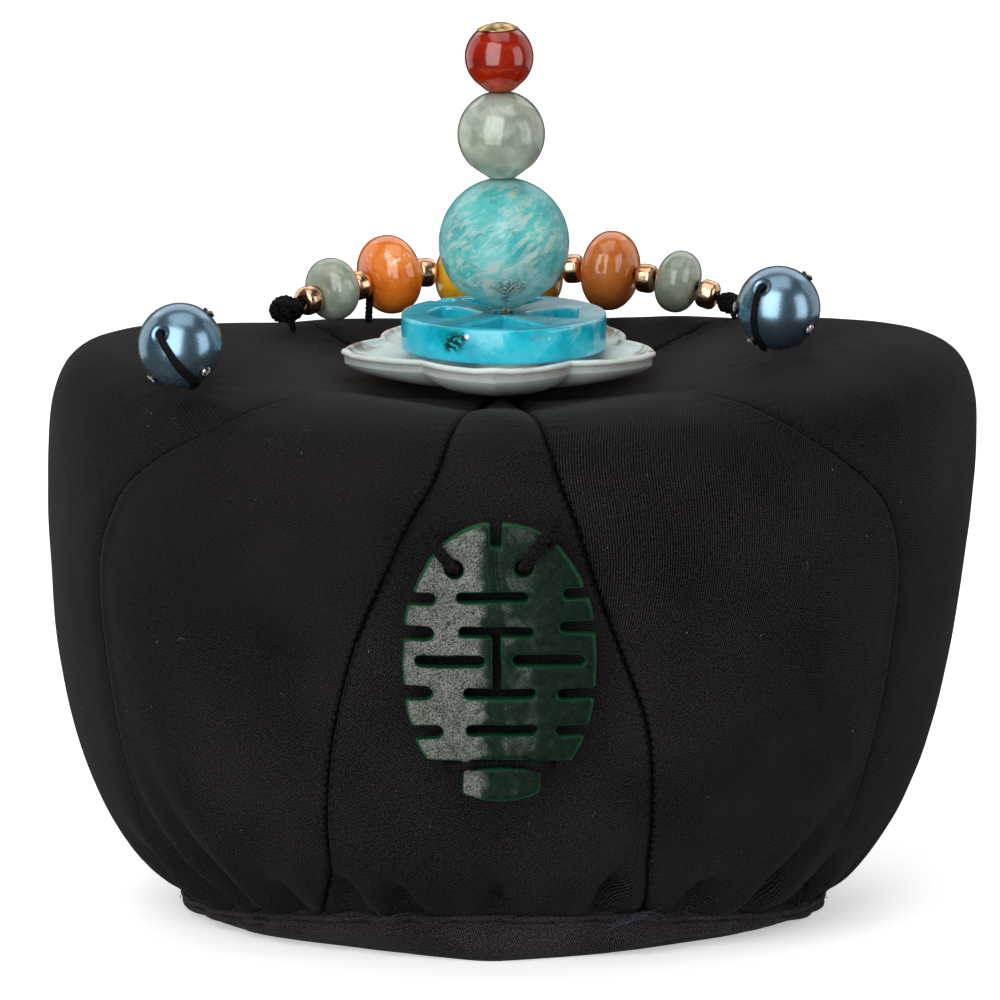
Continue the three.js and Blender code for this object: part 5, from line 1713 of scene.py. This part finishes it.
def lint(gores, pale, thread):
    """Specks and short fibres caught on the satin, and frayed ends along the hem."""
    covers = []
    for body in gores:
        cover = [list(face.vertices) for face in body.data.polygons[:GORE_ROWS * GORE_COLUMNS]]
        covers.append((mesh_points(body.data), cover))
    points, faces = join(covers)
    cloth = bpy.data.meshes.new("cloth_surface")
    cloth.from_pydata(points.tolist(), [], faces)
    specks = fibre_tree("lint_specks", pale, 4200.0, 3, 0.0004, 0.00007)
    grow("lint_specks", cloth.copy(), specks)
    fibres = fibre_tree("lint_fibres", pale, 700.0, 5, 0.0019, 0.00003)
    grow("lint_fibres", cloth, fibres)
    band, band_faces = closed_tube(welt_line(0.1, 0.5, 240), 0.7, 6)
    hem = make_mesh("hem_edge", band, band_faces)
    frayed = fibre_tree("frayed_ends", thread, 12000.0, 9, 0.0026, 0.00003)
    grow("frayed_ends", hem, frayed)


def loose_threads(thread):
    """The tangle of pulled thread at the foot of the right centre seam, and a few stray ends."""
    draw = np.random.default_rng(17)
    parts = []
    count = 12
    share = np.linspace(0, 1, count)
    for k in range(16):
        begin = draw.uniform(0, 0.45)
        along_clump = begin + share * draw.uniform(0.3, 1 - begin)
        angle = 18 + 11 * along_clump + 0.5 * ripple(200 + k, share * 4)
        out = 0.7 + 0.5 * ripple(230 + k, share * 3) + draw.uniform(-0.3, 0.5)
        line = cover_point(np.full(count, float(LAST_RING)), angle) + ring_direction(angle) * out[:, None]
        line[:, 2] = 6.2 + 2.2 * along_clump + 0.7 * ripple(260 + k, share * 4.5) + draw.uniform(-0.5, 0.5)
        parts.append(tube(smooth_path(line, 0.25), 0.06, 6))
    stray = [(-23, 5, 2.8), (-17, 5, -1.6), (33, 3, -1.4), (41, 3, -1.2), (118, 4, 2), (215, 4, 2)]
    for start, length, rise in stray:
        angle = start + length * share
        line = cloth_point(np.full(count, LAST_RING - 0.01), angle) + ring_direction(angle) * 0.75
        line[:, 2] += rise * (1 - share) ** 2 - 0.3 + 0.3 * ripple(300 + start, share * 3)
        parts.append(tube(smooth_path(line, 0.25), 0.06, 6))
    points, faces = join(parts)
    piece("pulled_threads", make_mesh("pulled_threads", points, faces), thread)


# The studio

def camera():
    view = bpy.data.cameras.new("view")
    view.sensor_width = SENSOR
    view.lens = SENSOR * CAMERA_DISTANCE / (PICTURE_MM * MM)
    view.clip_end = 50
    body = new_object("view", view)
    aim = Vector((BODY_MIDDLE + CAMERA_AIM) * MM)
    lift = math.radians(VIEW_LIFT)
    back = Vector((0, -math.cos(lift), math.sin(lift)))
    body.location = aim + back * CAMERA_DISTANCE
    body.rotation_euler = (-back).to_track_quat("-Z", "Y").to_euler()
    bpy.context.scene.camera = body


def soft_box(name, azimuth, elevation, distance, width, height, power):
    """A soft box aimed at the object. Azimuth 0 is the camera's side and 90 the viewer's right."""
    light = bpy.data.lights.new(name, "AREA")
    light.shape = "RECTANGLE"
    light.size, light.size_y = width, height
    light.energy = power
    body = new_object(name, light)
    a, e = math.radians(azimuth), math.radians(elevation)
    back = Vector((math.sin(a) * math.cos(e), -math.cos(a) * math.cos(e), math.sin(e)))
    aim = Vector((0, 0, 0.07))
    body.location = aim + back * distance
    body.rotation_euler = (-back).to_track_quat("-Z", "Y").to_euler()


def studio():
    scene = bpy.context.scene
    scene.view_settings.view_transform = "Standard"
    scene.view_settings.look = "None"
    world = bpy.data.worlds.new("studio")
    world.use_nodes = True
    world.node_tree.nodes["Background"].inputs["Color"].default_value = (1, 1, 1, 1)
    world.node_tree.nodes["Background"].inputs["Strength"].default_value = 0.055
    scene.world = world
    soft_box("key_box", -22, 19, 1.4, 1.25, 2.1, 29)
    soft_box("right_box", 68, 8, 1.6, 0.9, 1.5, 9)
    soft_box("left_edge_box", -122, 12, 1.5, 1.2, 1.8, 6)
    soft_box("right_edge_box", 124, 12, 1.5, 1.2, 1.8, 4)
    soft_box("top_box", 10, 84, 1.2, 1.1, 0.9, 4)
    soft_box("back_box", 180, 44, 1.6, 2.2, 1.0, 8)

    floor = bpy.data.meshes.new("floor")
    rows = [(-0.3, 0), (0, 0), (0.9, 0), (1.2, 0.02), (1.4, 0.08), (1.55, 0.2), (1.62, 0.4), (1.65, 0.9),
            (1.65, 1.6)]
    points = [(x, y, z) for y, z in rows for x in (-1.5, -0.5, 0.5, 1.5)]
    floor.from_pydata(points, [], grid_faces(len(rows), 4))
    sweep = new_object("floor", floor)
    paper = Finish("pale_paper", roughness=0.9, specular_ior_level=0.1, emission_strength=0.44)
    tone = paper.noise(60, 2.0).ramp((0.0, (0.92, 0.92, 0.92)), (1.0, (0.94, 0.94, 0.94)))
    paper.set("Base Color", tone)
    paper.shader.inputs["Emission Color"].default_value = (1, 1, 1, 1)
    floor.materials.append(paper.material)
    floor.shade_smooth()
    sweep.visible_glossy = False


camera()

satin_cloth = satin()
black_thread = cord()
lining_cloth = lining()
gores = [gore(k, satin_cloth, lining_cloth) for k in range(len(GORES))]
# A copy of the satin with every tone 2.2 times paler, for the hem band and its welt.
pale_hem_satin = satin("pale_hem_satin", 2.2)
hem_band(pale_hem_satin)
gather_welt(pale_hem_satin)

green = pale_green_stone()
finial_stones({
    "amazonite": (amazonite(), "amazonite"),
    "aventurine": (green, "pale_green_stone"),
    "carnelian": (carnelian(), "carnelian"),
})
copper = copper_gilt()
cup_metal = dark_metal()
finial_cap(gilt_brass(), cup_metal)
finial_wires(copper, black_thread)
flower_plate(celadon())
turquoise_wheel(turquoise())
jade_plaque(dark_green_jade())
plaque_ties(black_thread)

lacquer = blue_pearl()
crystal = clear_crystal()
for side, pearl in PEARLS.items():
    pearl_button(side, pearl, lacquer, black_thread, crystal, cup_metal)

strand({
    "spacer": (copper, "copper_gilt"),
    "green": (green, "pale_green_stone"),
    "orange": (orange_stone(), "orange_stone"),
    "amber": (amber_stone(), "amber_stone"),
}, black_thread)

pulled = loose_thread()
stitching(black_thread)
lint(gores, lint_fibre(), pulled)
loose_threads(pulled)
studio()
